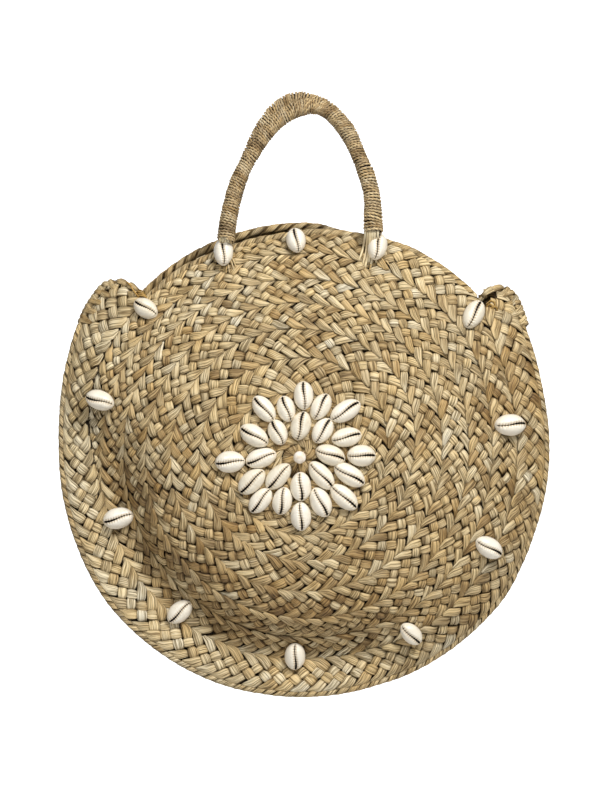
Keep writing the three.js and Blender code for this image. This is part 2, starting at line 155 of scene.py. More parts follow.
# ---------------------------------------------------------------------------
# Mesh collecting
# ---------------------------------------------------------------------------
class Build:
    """Gathers strips and tubes for one mesh, with a strip map and a bake map."""

    def __init__(self):
        self.v, self.q, self.uv, self.cell, self.runs = [], [], [], [], []
        self.attr = {}
        self.n = 0

    def add(self, verts, quads, uv, cell=None, length=1.0, girth=1.0, **attrs):
        self.v.append(verts)
        self.q.append(quads + self.n)
        self.uv.append(uv)
        self.cell.append(np.zeros(uv.shape) if cell is None else cell)
        self.runs.append((len(quads), length, girth))
        for k, a in attrs.items():
            self.attr.setdefault(k, []).append(np.broadcast_to(np.asarray(a, float), (len(verts),)))
        self.n += len(verts)

    def atlas(self):
        """Every run laid out as one strip in rows of a square."""
        total = sum(l * g for _, l, g in self.runs) * 1.12
        side = max(math.sqrt(total), max(l for _, l, g in self.runs) * 1.02)
        x = y = row = 0.0
        out = []
        for (count, l, g), c in zip(self.runs, self.cell):
            if x + l > side:
                x, y, row = 0.0, y + row, 0.0
            out.append(np.stack([x + c[..., 0] * l * 0.985, y + c[..., 1] * g * 0.94], -1))
            x += l
            row = max(row, g)
        k = 1.0 / max(side, y + row)
        return np.concatenate(out) * k * 0.998 + 0.001

    def object(self, name, material, bake_map=True):
        v = np.concatenate(self.v) * MM
        q = np.concatenate(self.q).astype(np.int32)
        me = bpy.data.meshes.new(name)
        me.vertices.add(len(v))
        me.vertices.foreach_set("co", v.astype(np.float32).ravel())
        me.loops.add(q.size)
        me.loops.foreach_set("vertex_index", q.ravel())
        me.polygons.add(len(q))
        me.polygons.foreach_set("loop_start", np.arange(0, q.size, 4, dtype=np.int32))
        me.polygons.foreach_set("use_smooth", np.ones(len(q), bool))
        me.update(calc_edges=True)
        lay = me.uv_layers.new(name="strip")
        lay.data.foreach_set("uv", np.concatenate(self.uv).astype(np.float32).ravel())
        if bake_map:
            lay = me.uv_layers.new(name="OFBake")
            lay.data.foreach_set("uv", self.atlas().astype(np.float32).ravel())
        for k, parts in self.attr.items():
            a = me.attributes.new(k, "FLOAT", "POINT")
            a.data.foreach_set("value", np.concatenate(parts).astype(np.float32))
        me.materials.append(material)
        o = bpy.data.objects.new(name, me)
        bpy.context.scene.collection.objects.link(o)
        return o


def ring_quads(n, m):
    i = np.arange(n - 1)[:, None]
    j = np.arange(m)[None, :]
    a = i * m + j
    b = (i + 1) * m + j
    c = (i + 1) * m + (j + 1) % m
    d = i * m + (j + 1) % m
    return np.stack([a, b, c, d], -1).reshape(-1, 4)


def cap_quads(first, m, flip):
    """Ring with an even number of sides closed with quads."""
    out = []
    lo, hi = 0, m - 1
    while hi - lo > 1:
        qd = [first + lo, first + lo + 1, first + hi - 1, first + hi]
        out.append(qd[::-1] if flip else qd)
        lo, hi = lo + 1, hi - 1
    return np.array(out)


def loft(build, rings, s, t, **attrs):
    """Closed tube through rings (n, m, 3); s along (mm), t across for the strip map."""
    n, m, _ = rings.shape
    q = ring_quads(n, m)
    caps = np.concatenate([cap_quads(0, m, False), cap_quads((n - 1) * m, m, True)])
    vs = np.repeat(s, m)
    vt = np.tile(t, n) if t.ndim == 1 else t.ravel()
    quads = np.concatenate([q, caps])
    uv = np.stack([vs[quads], vt[quads]], -1)
    L = max(float(s[-1] - s[0]), 0.5)
    girth = float(np.linalg.norm(np.diff(rings[n // 2], axis=0, append=rings[n // 2][:1]), axis=1).sum())
    along = (np.repeat(s, m) - s[0]) / L
    cell_l = along[q]
    jj = np.tile(np.arange(m), n - 1)
    cell_t = np.stack([jj, jj, jj + 1, jj + 1], -1) / m
    cell = np.stack([cell_l, cell_t], -1)
    cc = np.zeros((len(caps), 4, 2))
    half = len(caps) // 2
    cc[half:, :, 0] = 1.0
    cc[..., 1] = np.array([0.0, 0.1, 0.1, 0.0])
    cc[:, 1:3, 0] += np.where(cc[:, 1:3, 0] > 0.5, -0.004, 0.004)
    cell = np.concatenate([cell, cc])
    flat = {}
    for k, a in attrs.items():
        a = np.asarray(a, float)
        if a.ndim == 1 and len(a) == n:
            a = np.repeat(a, m)
        elif a.ndim == 2:
            a = a.ravel()
        flat[k] = a
    build.add(rings.reshape(-1, 3), quads, uv, cell, L, girth, **flat)


TOP = np.array([-1.0, -0.86, -0.45, 0.0, 0.45, 0.86, 1.0])
BOT = np.array([0.72, 0.0, -0.72])
TOP5 = np.array([-1.0, -0.6, 0.0, 0.6, 1.0])


def ribbon(build, P, N, W, thick=0.55, crown=0.45, roll=0.0, top=TOP5, groove=0.0, shift=0.0, lean=0.0, **attrs):
    """Flat strip: P its outer centre line, N outward normals, W full width, shift sideways."""
    n = len(P)
    T = unit(np.gradient(P, axis=0))
    N = unit(N - (N * T).sum(1, keepdims=True) * T)
    B = np.cross(N, T)
    roll = np.broadcast_to(np.asarray(roll, float), (n,))
    c, s_ = np.cos(roll)[:, None], np.sin(roll)[:, None]
    N, B = N * c + B * s_, B * c - N * s_
    W = np.broadcast_to(np.asarray(W, float), (n,))
    shift = np.broadcast_to(np.asarray(shift, float), (n,))
    crown = np.broadcast_to(np.asarray(crown, float), (n,))
    a = np.concatenate([top, BOT])
    k = len(top)
    ht = np.where(np.arange(len(a)) < k, 1.0, 0.0) * (1 - a ** 2)
    h = crown[:, None] * ht[None, :]
    if np.any(groove):
        # one or two folds along the strip
        g = np.zeros(len(a))
        g[1:k - 1] = np.cos(np.pi * 2.0 * (a[1:k - 1] - lean) / 0.9)
        groove = np.broadcast_to(np.asarray(groove, float), (n,))
        h = h - groove[:, None] * (1 - g)[None, :] * 0.5 * (np.arange(len(a)) < k)[None, :]
    h[:, k:] = crown[:, None] * (1 - BOT ** 2)[None, :] * 0.6 - thick
    h[:, 0] -= thick * 0.5
    h[:, k - 1] -= thick * 0.5
    rings = (P[:, None, :] + B[:, None, :] * (a[None, :, None] * W[:, None, None] * 0.5 + shift[:, None, None])
             + N[:, None, :] * h[:, :, None])
    seg = np.linalg.norm(np.diff(P, axis=0), axis=1)
    s = np.concatenate([[0], np.cumsum(seg)])
    if "s0" in attrs:
        s = s + attrs.pop("s0")
    loft(build, rings, s, a, **attrs)


def frames_along(P, up=None):
    """Parallel-transported frames along a polyline."""
    T = unit(np.gradient(P, axis=0))
    n = np.empty_like(P)
    u = np.array([0.0, -1.0, 0.0]) if up is None else np.array(up, float)
    n[0] = unit(u - (u @ T[0]) * T[0])
    for i in range(1, len(P)):
        v = n[i - 1] - (n[i - 1] @ T[i]) * T[i]
        n[i] = v / np.linalg.norm(v)
    return T, n, np.cross(T, n)


def tube(build, P, R, m=8, up=None, twist=0.0, round_ends=True, **attrs):
    P = np.asarray(P, float)
    T, n, b = frames_along(P, up)
    R = np.broadcast_to(np.asarray(R, float), (len(P),)).copy()
    if round_ends:
        R[0] *= 0.35
        R[-1] *= 0.35
    ang = np.arange(m) / m * 2 * math.pi
    seg = np.linalg.norm(np.diff(P, axis=0), axis=1)
    s = np.concatenate([[0], np.cumsum(seg)])
    if "s0" in attrs:
        s = s + attrs.pop("s0")
    rings = (P[:, None, :] + R[:, None, None] * (np.cos(ang)[None, :, None] * n[:, None, :]
                                               + np.sin(ang)[None, :, None] * b[:, None, :]))
    # order so that faces look outward
    rings = rings[:, ::-1]
    t = np.cos(ang)[::-1]
    loft(build, rings, s, t, **attrs)


def resample(P, step):
    P = np.asarray(P, float)
    s = np.concatenate([[0], np.cumsum(np.linalg.norm(np.diff(P, axis=0), axis=1))])
    n = max(int(round(s[-1] / step)), 2) + 1
    q = np.linspace(0, s[-1], n)
    return np.stack([np.interp(q, s, P[:, i]) for i in range(3)], 1), q


def catmull(P, per=16):
    """Smooth curve through points (centripetal Catmull-Rom)."""
    P = np.asarray(P, float)
    P = np.concatenate([[2 * P[0] - P[1]], P, [2 * P[-1] - P[-2]]])
    out = []
    for i in range(1, len(P) - 2):
        p0, p1, p2, p3 = P[i - 1:i + 3]
        t0 = 0.0
        t1 = t0 + np.linalg.norm(p1 - p0) ** 0.5
        t2 = t1 + np.linalg.norm(p2 - p1) ** 0.5
        t3 = t2 + np.linalg.norm(p3 - p2) ** 0.5
        t = np.linspace(t1, t2, per, endpoint=False)[:, None]
        a1 = (t1 - t) / (t1 - t0) * p0 + (t - t0) / (t1 - t0) * p1
        a2 = (t2 - t) / (t2 - t1) * p1 + (t - t1) / (t2 - t1) * p2
        a3 = (t3 - t) / (t3 - t2) * p2 + (t - t2) / (t3 - t2) * p3
        b1 = (t2 - t) / (t2 - t0) * a1 + (t - t0) / (t2 - t0) * a2
        b2 = (t3 - t) / (t3 - t1) * a2 + (t - t1) / (t3 - t1) * a3
        out.append((t2 - t) / (t2 - t1) * b1 + (t - t1) / (t2 - t1) * b2)
    out.append(P[-2][None, :])
    return np.concatenate(out)


# ---------------------------------------------------------------------------
# Materials
# ---------------------------------------------------------------------------
def srgb(r, g, b):
    def f(c):
        c /= 255.0
        return c / 12.92 if c <= 0.04045 else ((c + 0.055) / 1.055) ** 2.4
    return (f(r), f(g), f(b), 1.0)


class Nodes:
    def __init__(self, name):
        self.mat = bpy.data.materials.new(name)
        self.mat.use_nodes = True
        self.t = self.mat.node_tree
        self.t.nodes.clear()
        self.out = self.t.nodes.new("ShaderNodeOutputMaterial")
        self.bsdf = self.t.nodes.new("ShaderNodeBsdfPrincipled")
        self.t.links.new(self.bsdf.outputs[0], self.out.inputs[0])

    def put(self, sock, value):
        if isinstance(value, bpy.types.NodeSocket):
            self.t.links.new(value, sock)
        else:
            sock.default_value = value

    def new(self, kind, **props):
        n = self.t.nodes.new(kind)
        for k, v in props.items():
            setattr(n, k, v)
        return n

    def attr(self, name):
        return self.new("ShaderNodeAttribute", attribute_name=name).outputs["Fac"]

    def math(self, op, a, b=0.0, clamp=False, c=0.0):
        if op == "MULTIPLY_ADD" and isinstance(clamp, float):
            clamp, c = False, clamp
        n = self.new("ShaderNodeMath", operation=op, use_clamp=clamp)
        self.put(n.inputs[0], a)
        self.put(n.inputs[1], b)
        self.put(n.inputs[2], c)
        return n.outputs[0]

    def range(self, x, a, b, c, d):
        n = self.new("ShaderNodeMapRange", clamp=True)
        self.put(n.inputs[0], x)
        for i, v in enumerate((a, b, c, d)):
            n.inputs[i + 1].default_value = v
        return n.outputs[0]

    def ramp(self, x, stops):
        n = self.new("ShaderNodeValToRGB")
        while len(n.color_ramp.elements) < len(stops):
            n.color_ramp.elements.new(0.5)
        for e, (p, c) in zip(n.color_ramp.elements, stops):
            e.position, e.color = p, c
        self.put(n.inputs[0], x)
        return n.outputs[0]

    def mix(self, fac, a, b, blend="MIX"):
        n = self.new("ShaderNodeMix", data_type="RGBA", blend_type=blend)
        self.put(n.inputs[0], fac)
        self.put(n.inputs[6], a)
        self.put(n.inputs[7], b)
        return n.outputs[2]

    def noise(self, vec, scale, detail=2.0, rough=0.5):
        n = self.new("ShaderNodeTexNoise")
        self.put(n.inputs["Vector"], vec)
        n.inputs["Scale"].default_value = scale
        n.inputs["Detail"].default_value = detail
        n.inputs["Roughness"].default_value = rough
        return n.outputs[0]

    def strip(self):
        uv = self.new("ShaderNodeUVMap", uv_map="strip")
        sep = self.new("ShaderNodeSeparateXYZ")
        self.put(sep.inputs[0], uv.outputs[0])
        return sep.outputs[0], sep.outputs[1]

    def vec(self, x, y, z=0.0):
        n = self.new("ShaderNodeCombineXYZ")
        for i, v in enumerate((x, y, z)):
            self.put(n.inputs[i], v)
        return n.outputs[0]

    def bump(self, height, strength, dist):
        n = self.new("ShaderNodeBump")
        n.inputs["Strength"].default_value = strength
        n.inputs["Distance"].default_value = dist
        self.put(n.inputs["Height"], height)
        return n.outputs[0]


def straw_material(name, stops, fibres=2.6, streak=0.30, rough=(0.5, 0.74), bump=0.5, under=0.34, line=0.45, lines=0.045):
    """Plant fibre strip: colour by strand, thin dark lines along it, painted shade where it dips under its neighbours
    and towards its sides.
    """
    m = Nodes(name)
    s, t = m.strip()
    tone, ident, high = m.attr("tone"), m.attr("ident"), m.attr("high")
    across = m.math("ADD", m.math("MULTIPLY", t, fibres), m.math("MULTIPLY", ident, 91.7))
    along = m.math("MULTIPLY", s, 0.024)
    seed = m.math("MULTIPLY", ident, 17.3)
    strands = m.noise(m.vec(along, across, seed), 1.0, 1.0, 0.5)
    fibre = m.noise(m.vec(m.math("MULTIPLY", s, 0.05), m.math("MULTIPLY", across, 2.3), seed), 1.0, 3.0, 0.62)
    blotch = m.noise(m.vec(m.math("MULTIPLY", s, 0.085), m.math("MULTIPLY", t, 0.7), m.math("MULTIPLY", ident, 33.0)),
                     1.0, 2.0, 0.5)
    f = m.math("ADD", tone, m.math("MULTIPLY", m.math("SUBTRACT", fibre, 0.5), streak * 2.0))
    f = m.math("ADD", f, m.math("MULTIPLY", m.math("SUBTRACT", blotch, 0.5), 0.36), True)
    col = m.ramp(f, stops)
    split = m.range(m.math("ABSOLUTE", m.math("SUBTRACT", strands, 0.5)), 0.0, lines, line, 1.0)
    # painted shade: darker towards the strip's sides, and darker the lower its high value, where it dips under its
    # neighbours; under sets how dark the deepest dip gets
    edge = m.range(m.math("ABSOLUTE", t), 0.72, 1.0, 1.0, 0.62)
    dip_shade = m.range(high, -0.85, 0.35, under, 1.0)
    shade_and_fibre_lines = m.math("MULTIPLY", m.math("MULTIPLY", edge, dip_shade), split)
    tint = m.vec(shade_and_fibre_lines, m.math("POWER", shade_and_fibre_lines, 1.10), m.math("POWER", shade_and_fibre_lines, 1.30))
    col = m.mix(1.0, col, tint, "MULTIPLY")
    hue = m.noise(m.vec(m.math("MULTIPLY", s, 0.014), m.math("MULTIPLY", ident, 57.0), seed), 1.0, 1.0, 0.5)
    hue = m.range(hue, 0.28, 0.72, -1.0, 1.0)
    shift = m.vec(m.math("MULTIPLY_ADD", hue, 0.055, 1.0), 1.0, m.math("MULTIPLY_ADD", hue, -0.13, 1.0))
    col = m.mix(1.0, col, shift, "MULTIPLY")
    m.put(m.bsdf.inputs["Base Color"], col)
    m.put(m.bsdf.inputs["Roughness"], m.range(fibre, 0.3, 0.7, rough[0], rough[1]))
    m.bsdf.inputs["Specular IOR Level"].default_value = 0.42
    relief = m.math("ADD", m.math("MULTIPLY", split, 0.8), m.math("MULTIPLY", fibre, 0.7))
    m.put(m.bsdf.inputs["Normal"], m.bump(relief, bump, 0.0005))
    return m.mat


STRAW_STOPS = [(0.0, srgb(124, 94, 52)), (0.26, srgb(174, 143, 93)), (0.5, srgb(205, 178, 129)),
               (0.74, srgb(223, 201, 156)), (1.0, srgb(242, 227, 192))]
M_STRAW = straw_material("straw", STRAW_STOPS, fibres=3.0, streak=0.44, bump=0.95, under=0.06, line=0.22, lines=0.085)
M_STRAW_BACK = straw_material("straw_back", STRAW_STOPS)
M_RAFFIA = straw_material("raffia", [(0.0, srgb(150, 116, 64)), (0.5, srgb(205, 175, 118)),
                                     (1.0, srgb(242, 228, 192))], fibres=1.0, under=0.6, line=0.72)
M_TWINE = straw_material("handle_twine", [(0.0, srgb(92, 72, 46)), (0.35, srgb(156, 130, 92)),
                                          (0.6, srgb(194, 168, 126)), (0.82, srgb(216, 194, 154)),
                                          (1.0, srgb(232, 212, 172))],
                         fibres=0.9, streak=0.46, rough=(0.68, 0.88), bump=0.6, under=0.15, line=0.5)
M_GOLD = straw_material("gold_twine", [(0.0, srgb(120, 84, 36)), (0.5, srgb(184, 146, 78)), (1.0, srgb(226, 196, 128))],
                        fibres=1.2, under=0.6)
M_CORE = straw_material("rope_core", [(0.0, srgb(92, 70, 42)), (1.0, srgb(168, 140, 96))], fibres=1.4)


def cowrie_material():
    m = Nodes("cowrie")
    co = m.new("ShaderNodeTexCoord").outputs["Object"]
    slit, lip, ident = m.attr("slit"), m.attr("lip"), m.attr("ident")
    s, t = m.strip()
    cloud = m.noise(co, 130.0, 3.0, 0.55)
    speck = m.noise(co, 620.0, 2.0, 0.5)
    f = m.math("ADD", m.math("MULTIPLY", ident, 0.45), m.math("MULTIPLY", cloud, 0.75), True)
    col = m.ramp(f, [(0.0, srgb(216, 202, 174)), (0.4, srgb(236, 227, 207)),
                     (0.7, srgb(244, 236, 219)), (1.0, srgb(250, 244, 232))])
    col = m.mix(m.range(lip, 0.1, 0.9, 0.0, 0.8), col, srgb(182, 156, 116))
    col = m.mix(m.range(speck, 0.6, 0.72, 0.0, 0.22), col, srgb(206, 184, 148))
    # painted shade: the slit and the walls of its groove are painted near black as the shade inside the shell
    col = m.mix(m.range(slit, 0.12, 0.62, 0.0, 1.0), col, srgb(38, 26, 17))
    m.put(m.bsdf.inputs["Base Color"], col)
    m.put(m.bsdf.inputs["Roughness"], m.range(cloud, 0.3, 0.7, 0.24, 0.42))
    m.bsdf.inputs["Specular IOR Level"].default_value = 0.5
    m.bsdf.inputs["Coat Weight"].default_value = 0.18
    m.bsdf.inputs["Coat Roughness"].default_value = 0.2
    m.put(m.bsdf.inputs["Normal"], m.bump(speck, 0.12, 0.0003))
    return m.mat


def pearl_material():
    m = Nodes("pearl")
    co = m.new("ShaderNodeTexCoord").outputs["Object"]
    cloud = m.noise(co, 210.0, 2.0, 0.5)
    lw = m.new("ShaderNodeLayerWeight")
    lw.inputs[0].default_value = 0.35
    col = m.ramp(cloud, [(0.25, srgb(232, 214, 190)), (0.5, srgb(247, 236, 220)), (0.8, srgb(252, 246, 238))])
    m.put(m.bsdf.inputs["Base Color"], col)
    m.put(m.bsdf.inputs["Roughness"], m.range(cloud, 0.3, 0.7, 0.12, 0.2))
    m.put(m.bsdf.inputs["Sheen Weight"], m.range(lw.outputs[1], 0.0, 1.0, 0.0, 0.5))
    m.bsdf.inputs["Coat Weight"].default_value = 0.6
    m.bsdf.inputs["Coat Roughness"].default_value = 0.06
    return m.mat


M_COWRIE = cowrie_material()
M_PEARL = pearl_material()

# ---------------------------------------------------------------------------
# Dishes: each is one long plait of five strips, wound in a spiral from the
# middle and sewn edge to edge, every round lapping over the one inside it. A
# last length of the same plait is sewn round the rim from ear to ear.
# ---------------------------------------------------------------------------
STRIP_A = 1.35          # rise of a strip over its neighbour
SINK = 0.55
PITCH = 13.3            # along the plait, from one strip to the next
COIL_AT = (-4.0, -5.0)  # middle of the coil in the disc's plane
# distance of the sewn edge from the coil's middle, by the angle wound (degrees)
COIL = [(-1130, 3.5), (-1010, 9.5), (-830, 21.0), (-650, 32.5), (-470, 44.0), (-290, 55.5), (-140, 65.0), (-20, 72.3),
        (10, 77.1), (40, 83.1), (70, 86.5), (100, 86.8), (130, 86.9), (160, 87.0), (190, 87.1), (220, 87.6),
        (250, 88.8), (280, 91.3), (310, 93.4), (340, 95.4), (370, 101.4), (400, 109.2), (430, 111.6), (460, 111.8),
        (490, 111.9), (520, 112.0), (550, 112.1), (580, 112.6), (610, 115.0), (640, 117.0), (670, 119.5),
        (700, 121.0), (730, 124.6), (760, 131.8), (790, 133.6), (820, 133.8), (850, 133.9), (880, 134.0),
        (910, 134.2), (940, 135.6), (970, 138.0), (1000, 141.4), (1030, 143.9), (1060, 144.6), (1090, 147.4),
        (1120, 153.9), (1150, 154.6), (1180, 154.7), (1210, 154.7), (1240, 154.0), (1270, 153.6), (1300, 154.6),
        (1330, 156.2), (1360, 158.8), (1390, 164.0), (1420, 165.0), (1450, 168.5), (1480, 177.0), (1510, 178.2),
        (1540, 176.3), (1570, 172.4), (1600, 171.4), (1630, 174.4), (1660, 178.2), (1690, 178.4), (1720, 179.0),
        (1750, 184.4), (1780, 187.9), (1810, 189.6), (1828, 194.6), (1838, 203.0)]
COIL_LEFT = [(1940, 191.9), (1950, 191.4), (1960, 191.2), (1970, 190.2), (1980, 189.0), (1990, 188.0), (2000, 187.0)]
# inner edge of the length sewn round the rim
BORDER_EDGE = pchip([130, 138, 150, 160, 170, 178, 186, 196, 210, 220, 250, 280, 310, 340, 370, 385, 399],
                    [191.8, 191.7, 191.5, 191.0, 187.8, 182.5, 178.4, 176.2, 176.9, 178.6, 178.4, 179.0, 184.4,
                     187.9, 189.6, 193.4, 203.0])


BACK_SAG = pchip([0, 50, 60, 68, 78, 82, 85, 90, 180], [0, 0, 2.0, 4.5, 6.0, 3.4, 1.2, 0, 0])


def mouth_dip(side, th_deg):
    """How far a mouth edge is below its circle; the back one sags right of its middle."""
    return BACK_SAG(th_deg) if side > 0 else -FRONT_RISE(th_deg)


class Dish:
    """One side of the bag in polar terms about the middle of its coil; the back is wound mirrored."""

    def __init__(self, side, cut_mouth, edge_inset):
        self.side, self.cut_mouth, self.edge_inset = side, cut_mouth, edge_inset
        th = np.arange(44.0, 134.1, 6.0)
        mouth = [(1800.0 + t, float(r)) for t, r in zip(th, self.reach(th, self.mouth))]
        table = COIL + mouth + COIL_LEFT
        self.seam = pchip([t for t, _ in table], [r for _, r in table])

    def plan(self, r, th):
        a = np.radians(th)
        x = COIL_AT[0] + r * np.cos(a)
        return (-x if self.side > 0 else x), COIL_AT[1] + r * np.sin(a)

    def place(self, r, th):
        return surface(self.side, *self.plan(r, th))

    def away(self, th):
        a = np.radians(th)
        return np.stack([np.cos(a) * (-1.0 if self.side > 0 else 1.0), 0 * a, np.sin(a)], -1)

    def rim(self, deg):
        return rim_radius(deg) - self.edge_inset

    def mouth(self, deg):
        return self.cut_mouth - mouth_dip(self.side, deg)

    def reach(self, th, edge):
        """Distance from the coil's middle to an edge given about the disc's centre."""
        r = np.full(np.shape(th), 195.0)
        for _ in range(14):
            rad, deg = polar(*self.plan(r, th))
            r = r + (edge(deg) - rad)
        return r


class Band:
    """A length of plait between two edges, measured on the dish itself."""

    def __init__(self, dish, lo, hi, inner, outer):
        self.dish = dish
        self.phi = np.arange(lo, hi + 0.01, 1.5)
        a, b = inner(self.phi), outer(self.phi)
        f = (np.arange(49) - 9) / 30.0
        r = np.maximum(a[:, None] + (b - a)[:, None] * f[None, :], 0.5)
        P, _ = dish.place(r, self.phi[:, None])
        arc = np.concatenate([np.zeros((len(r), 1)), np.cumsum(np.linalg.norm(np.diff(P, axis=1), axis=2), axis=1)], 1)
        arc -= arc[:, 9:10]
        self.width = arc[:, 39]
        self.u = np.linspace(-0.24, 1.24, 38)
        self.r = np.stack([np.interp(self.u * self.width[i], arc[i], r[i]) for i in range(len(r))])
        self.mid = np.array([np.interp(0.5 * self.width[i], arc[i], r[i]) for i in range(len(r))])
        Pm, _ = dish.place(self.mid, self.phi)
        self.s = np.concatenate([[0], np.cumsum(np.linalg.norm(np.diff(Pm, axis=0), axis=1))])

    def at(self, s, u):
        k = np.clip(np.interp(s, self.s, np.arange(len(self.s))), 0, len(self.s) - 1.001)
        i = k.astype(int)
        fi = k - i
        h = np.clip((u - self.u[0]) / (self.u[1] - self.u[0]), 0, len(self.u) - 1.001)
        j = h.astype(int)
        fj = h - j
        r = ((self.r[i, j] * (1 - fj) + self.r[i, j + 1] * fj) * (1 - fi)
             + (self.r[i + 1, j] * (1 - fj) + self.r[i + 1, j + 1] * fj) * fi)

        def mix(t):
            return t[i] * (1 - fi) + t[i + 1] * fi

        return mix(self.phi), r, mix(self.width), mix(self.mid)


# height of a strip on its way across the plait: outwards and back again
GOING_OUT = np.array([(-0.20, 0.15), (0.0, 0.5), (0.2, 1.0), (0.4, -1.0), (0.6, 1.0), (0.8, -1.0), (1.0, -0.8), (1.2, -0.8)])
COMING_IN = np.array([(-0.20, -0.8), (0.0, -0.8), (0.2, -1.0), (0.4, 1.0), (0.6, -1.0), (0.8, 1.0), (1.0, 0.5), (1.2, 0.15)])


def sway(u, table):
    i = np.clip(np.searchsorted(table[:, 0], u) - 1, 0, len(table) - 2)
    t = np.clip((u - table[i, 0]) / (table[i + 1, 0] - table[i, 0]), 0, 1)
    y = table[i, 1] + (table[i + 1, 1] - table[i, 1]) * (1 - np.cos(math.pi * t)) / 2
    return y * (1.5 - 0.5 * y * y)


def lay(band, builds, rng, fill, narrow, tone_and_shade_at, step, lap, tuck, hide, drop=None):
    """Five strips zigzagging along a band; each crossing of the band is one folded length."""
    half = 2.5 * PITCH
    total = band.s[-1]
    for k in range(5):
        build = builds[k % len(builds)]
        for j in range(-3, int(total / half) + 3):
            s0 = k * PITCH + j * half + np.clip(rng.normal(0, 0.05), -0.1, 0.1) * PITCH
            edge = lap * rng.uniform(0.2, 2.4)
            v = np.linspace(-0.19, 1.19, max(int(1.38 * half * 1.25 / step), 14))
            s = s0 + v * half
            ok = (s > 0) & (s < total)
            if ok.sum() < 6:
                continue
            v, s = v[ok], s[ok]
            out = j % 2 == 0
            u = v if out else 1 - v
            phi, r, W, mid = band.at(s, u)
            P, N = band.dish.place(r, phi)
            T = unit(np.gradient(P, axis=0))
            side = np.sign((np.cross(N, T) * band.dish.away(phi)).sum(1).mean())

            def per_float(size):
                n = np.clip(rng.normal(0, size, 9), -2 * size, 2 * size)
                return np.interp(u * 5.0, np.arange(-1.0, 8.0) - 1.0, n)

            y = sway(u, GOING_OUT if out else COMING_IN)
            pos = np.maximum(y, 0.0)
            p = PITCH * r / mid
            al = np.arctan2(W, 2.5 * p)
            near = 1 - sstep(24.0, 62.0, r)
            thin = narrow + (1.0 - narrow) * near
            wide = (p * np.sin(al) * fill * (1 + 0.14 * near) * (thin + (1.03 - thin) * pos ** 0.8)
                    * (1 + rng.normal(0, 0.045) + per_float(0.05)))
            lo = np.maximum(-wide / 2, (-edge - u * W) / np.cos(al))
            hi = np.minimum(wide / 2, (W + tuck - u * W) / np.cos(al))
            keep = np.nonzero(hi - lo > 0.13 * wide)[0]
            if len(keep) < 5:
                continue
            i = slice(keep[0], keep[-1] + 1)
            w, mid_q = (wide * np.maximum((hi - lo) / wide, 0.02) ** 0.7)[i], (hi + lo)[i] / 2
            sd = int(rng.integers(1 << 30))
            lift = (-SINK + STRIP_A * (1 + per_float(0.10)) * y + (0.95 if lap > 0 else 0.0) * (1 - sstep(0.0, 0.30, u))
                    - (0.95 if tuck > 0 else hide) * sstep(0.70, 1.0, u) + 0.12 * wavy(s, sd) + pos * per_float(0.14))
            if drop is not None:
                lift = lift - drop(phi)
            crown = np.minimum((0.26 + 0.86 * pos) * (1 + per_float(0.16)), 0.17 * wide)
            x, z = P[:, 0], P[:, 2] - Z0
            # strip tone from its place on the dish; on the front dish this includes painted light and shade
            tone = tone_and_shade_at(x, z) + np.clip(rng.normal(0, 0.14), -0.25, 0.22) + 0.07 * wavy(s, sd + 1) + per_float(0.06)
            roll = per_float(0.075) * side
            ribbon(build, (P + N * lift[:, None])[i], N[i], w, shift=side * mid_q, roll=roll[i], thick=0.55,
                   top=TOP, groove=rng.uniform(0.05, 0.42) * np.clip((w - 3.0) / 5.0, 0, 1), lean=rng.normal(0, 0.2),
                   crown=(crown * np.clip((hi - lo) / wide, 0.25, 1))[i], s0=float(s0 % 700.0), tone=tone[i],
                   ident=rng.random(), high=y[i])


def front_tone_and_shade(x, z):
    th = np.degrees(np.arctan2(z, x)) % 360
    r = np.hypot(x, z)
    # painted light and shade: lighter towards the top, a painted highlight on the brim, which faces the light, and
    # painted shade on the crease wall just inside the brim; the strips are also lighter right of the middle and darker
    # at the far right
    t = 0.53 + 0.10 * sstep(-60, 160, z)
    brim = sstep(130, 144, th) * (1 - sstep(285, 315, th)) * sstep(174, 188, r)
    wall = sstep(178, 210, th) * (1 - sstep(285, 315, th)) * sstep(118, 132, r) * (1 - sstep(168, 180, r))
    right = sstep(60, 85, x) * sstep(-70, -40, z) * (1 - sstep(15, 45, z))
    far = sstep(135, 155, x) * sstep(5, 30, z) * (1 - sstep(70, 100, z))
    return t + 0.21 * brim - 0.12 * wall + 0.08 * right * (1 - far) - 0.08 * far


def back_tone(x, z):
    return 0.50 + 0.0 * x


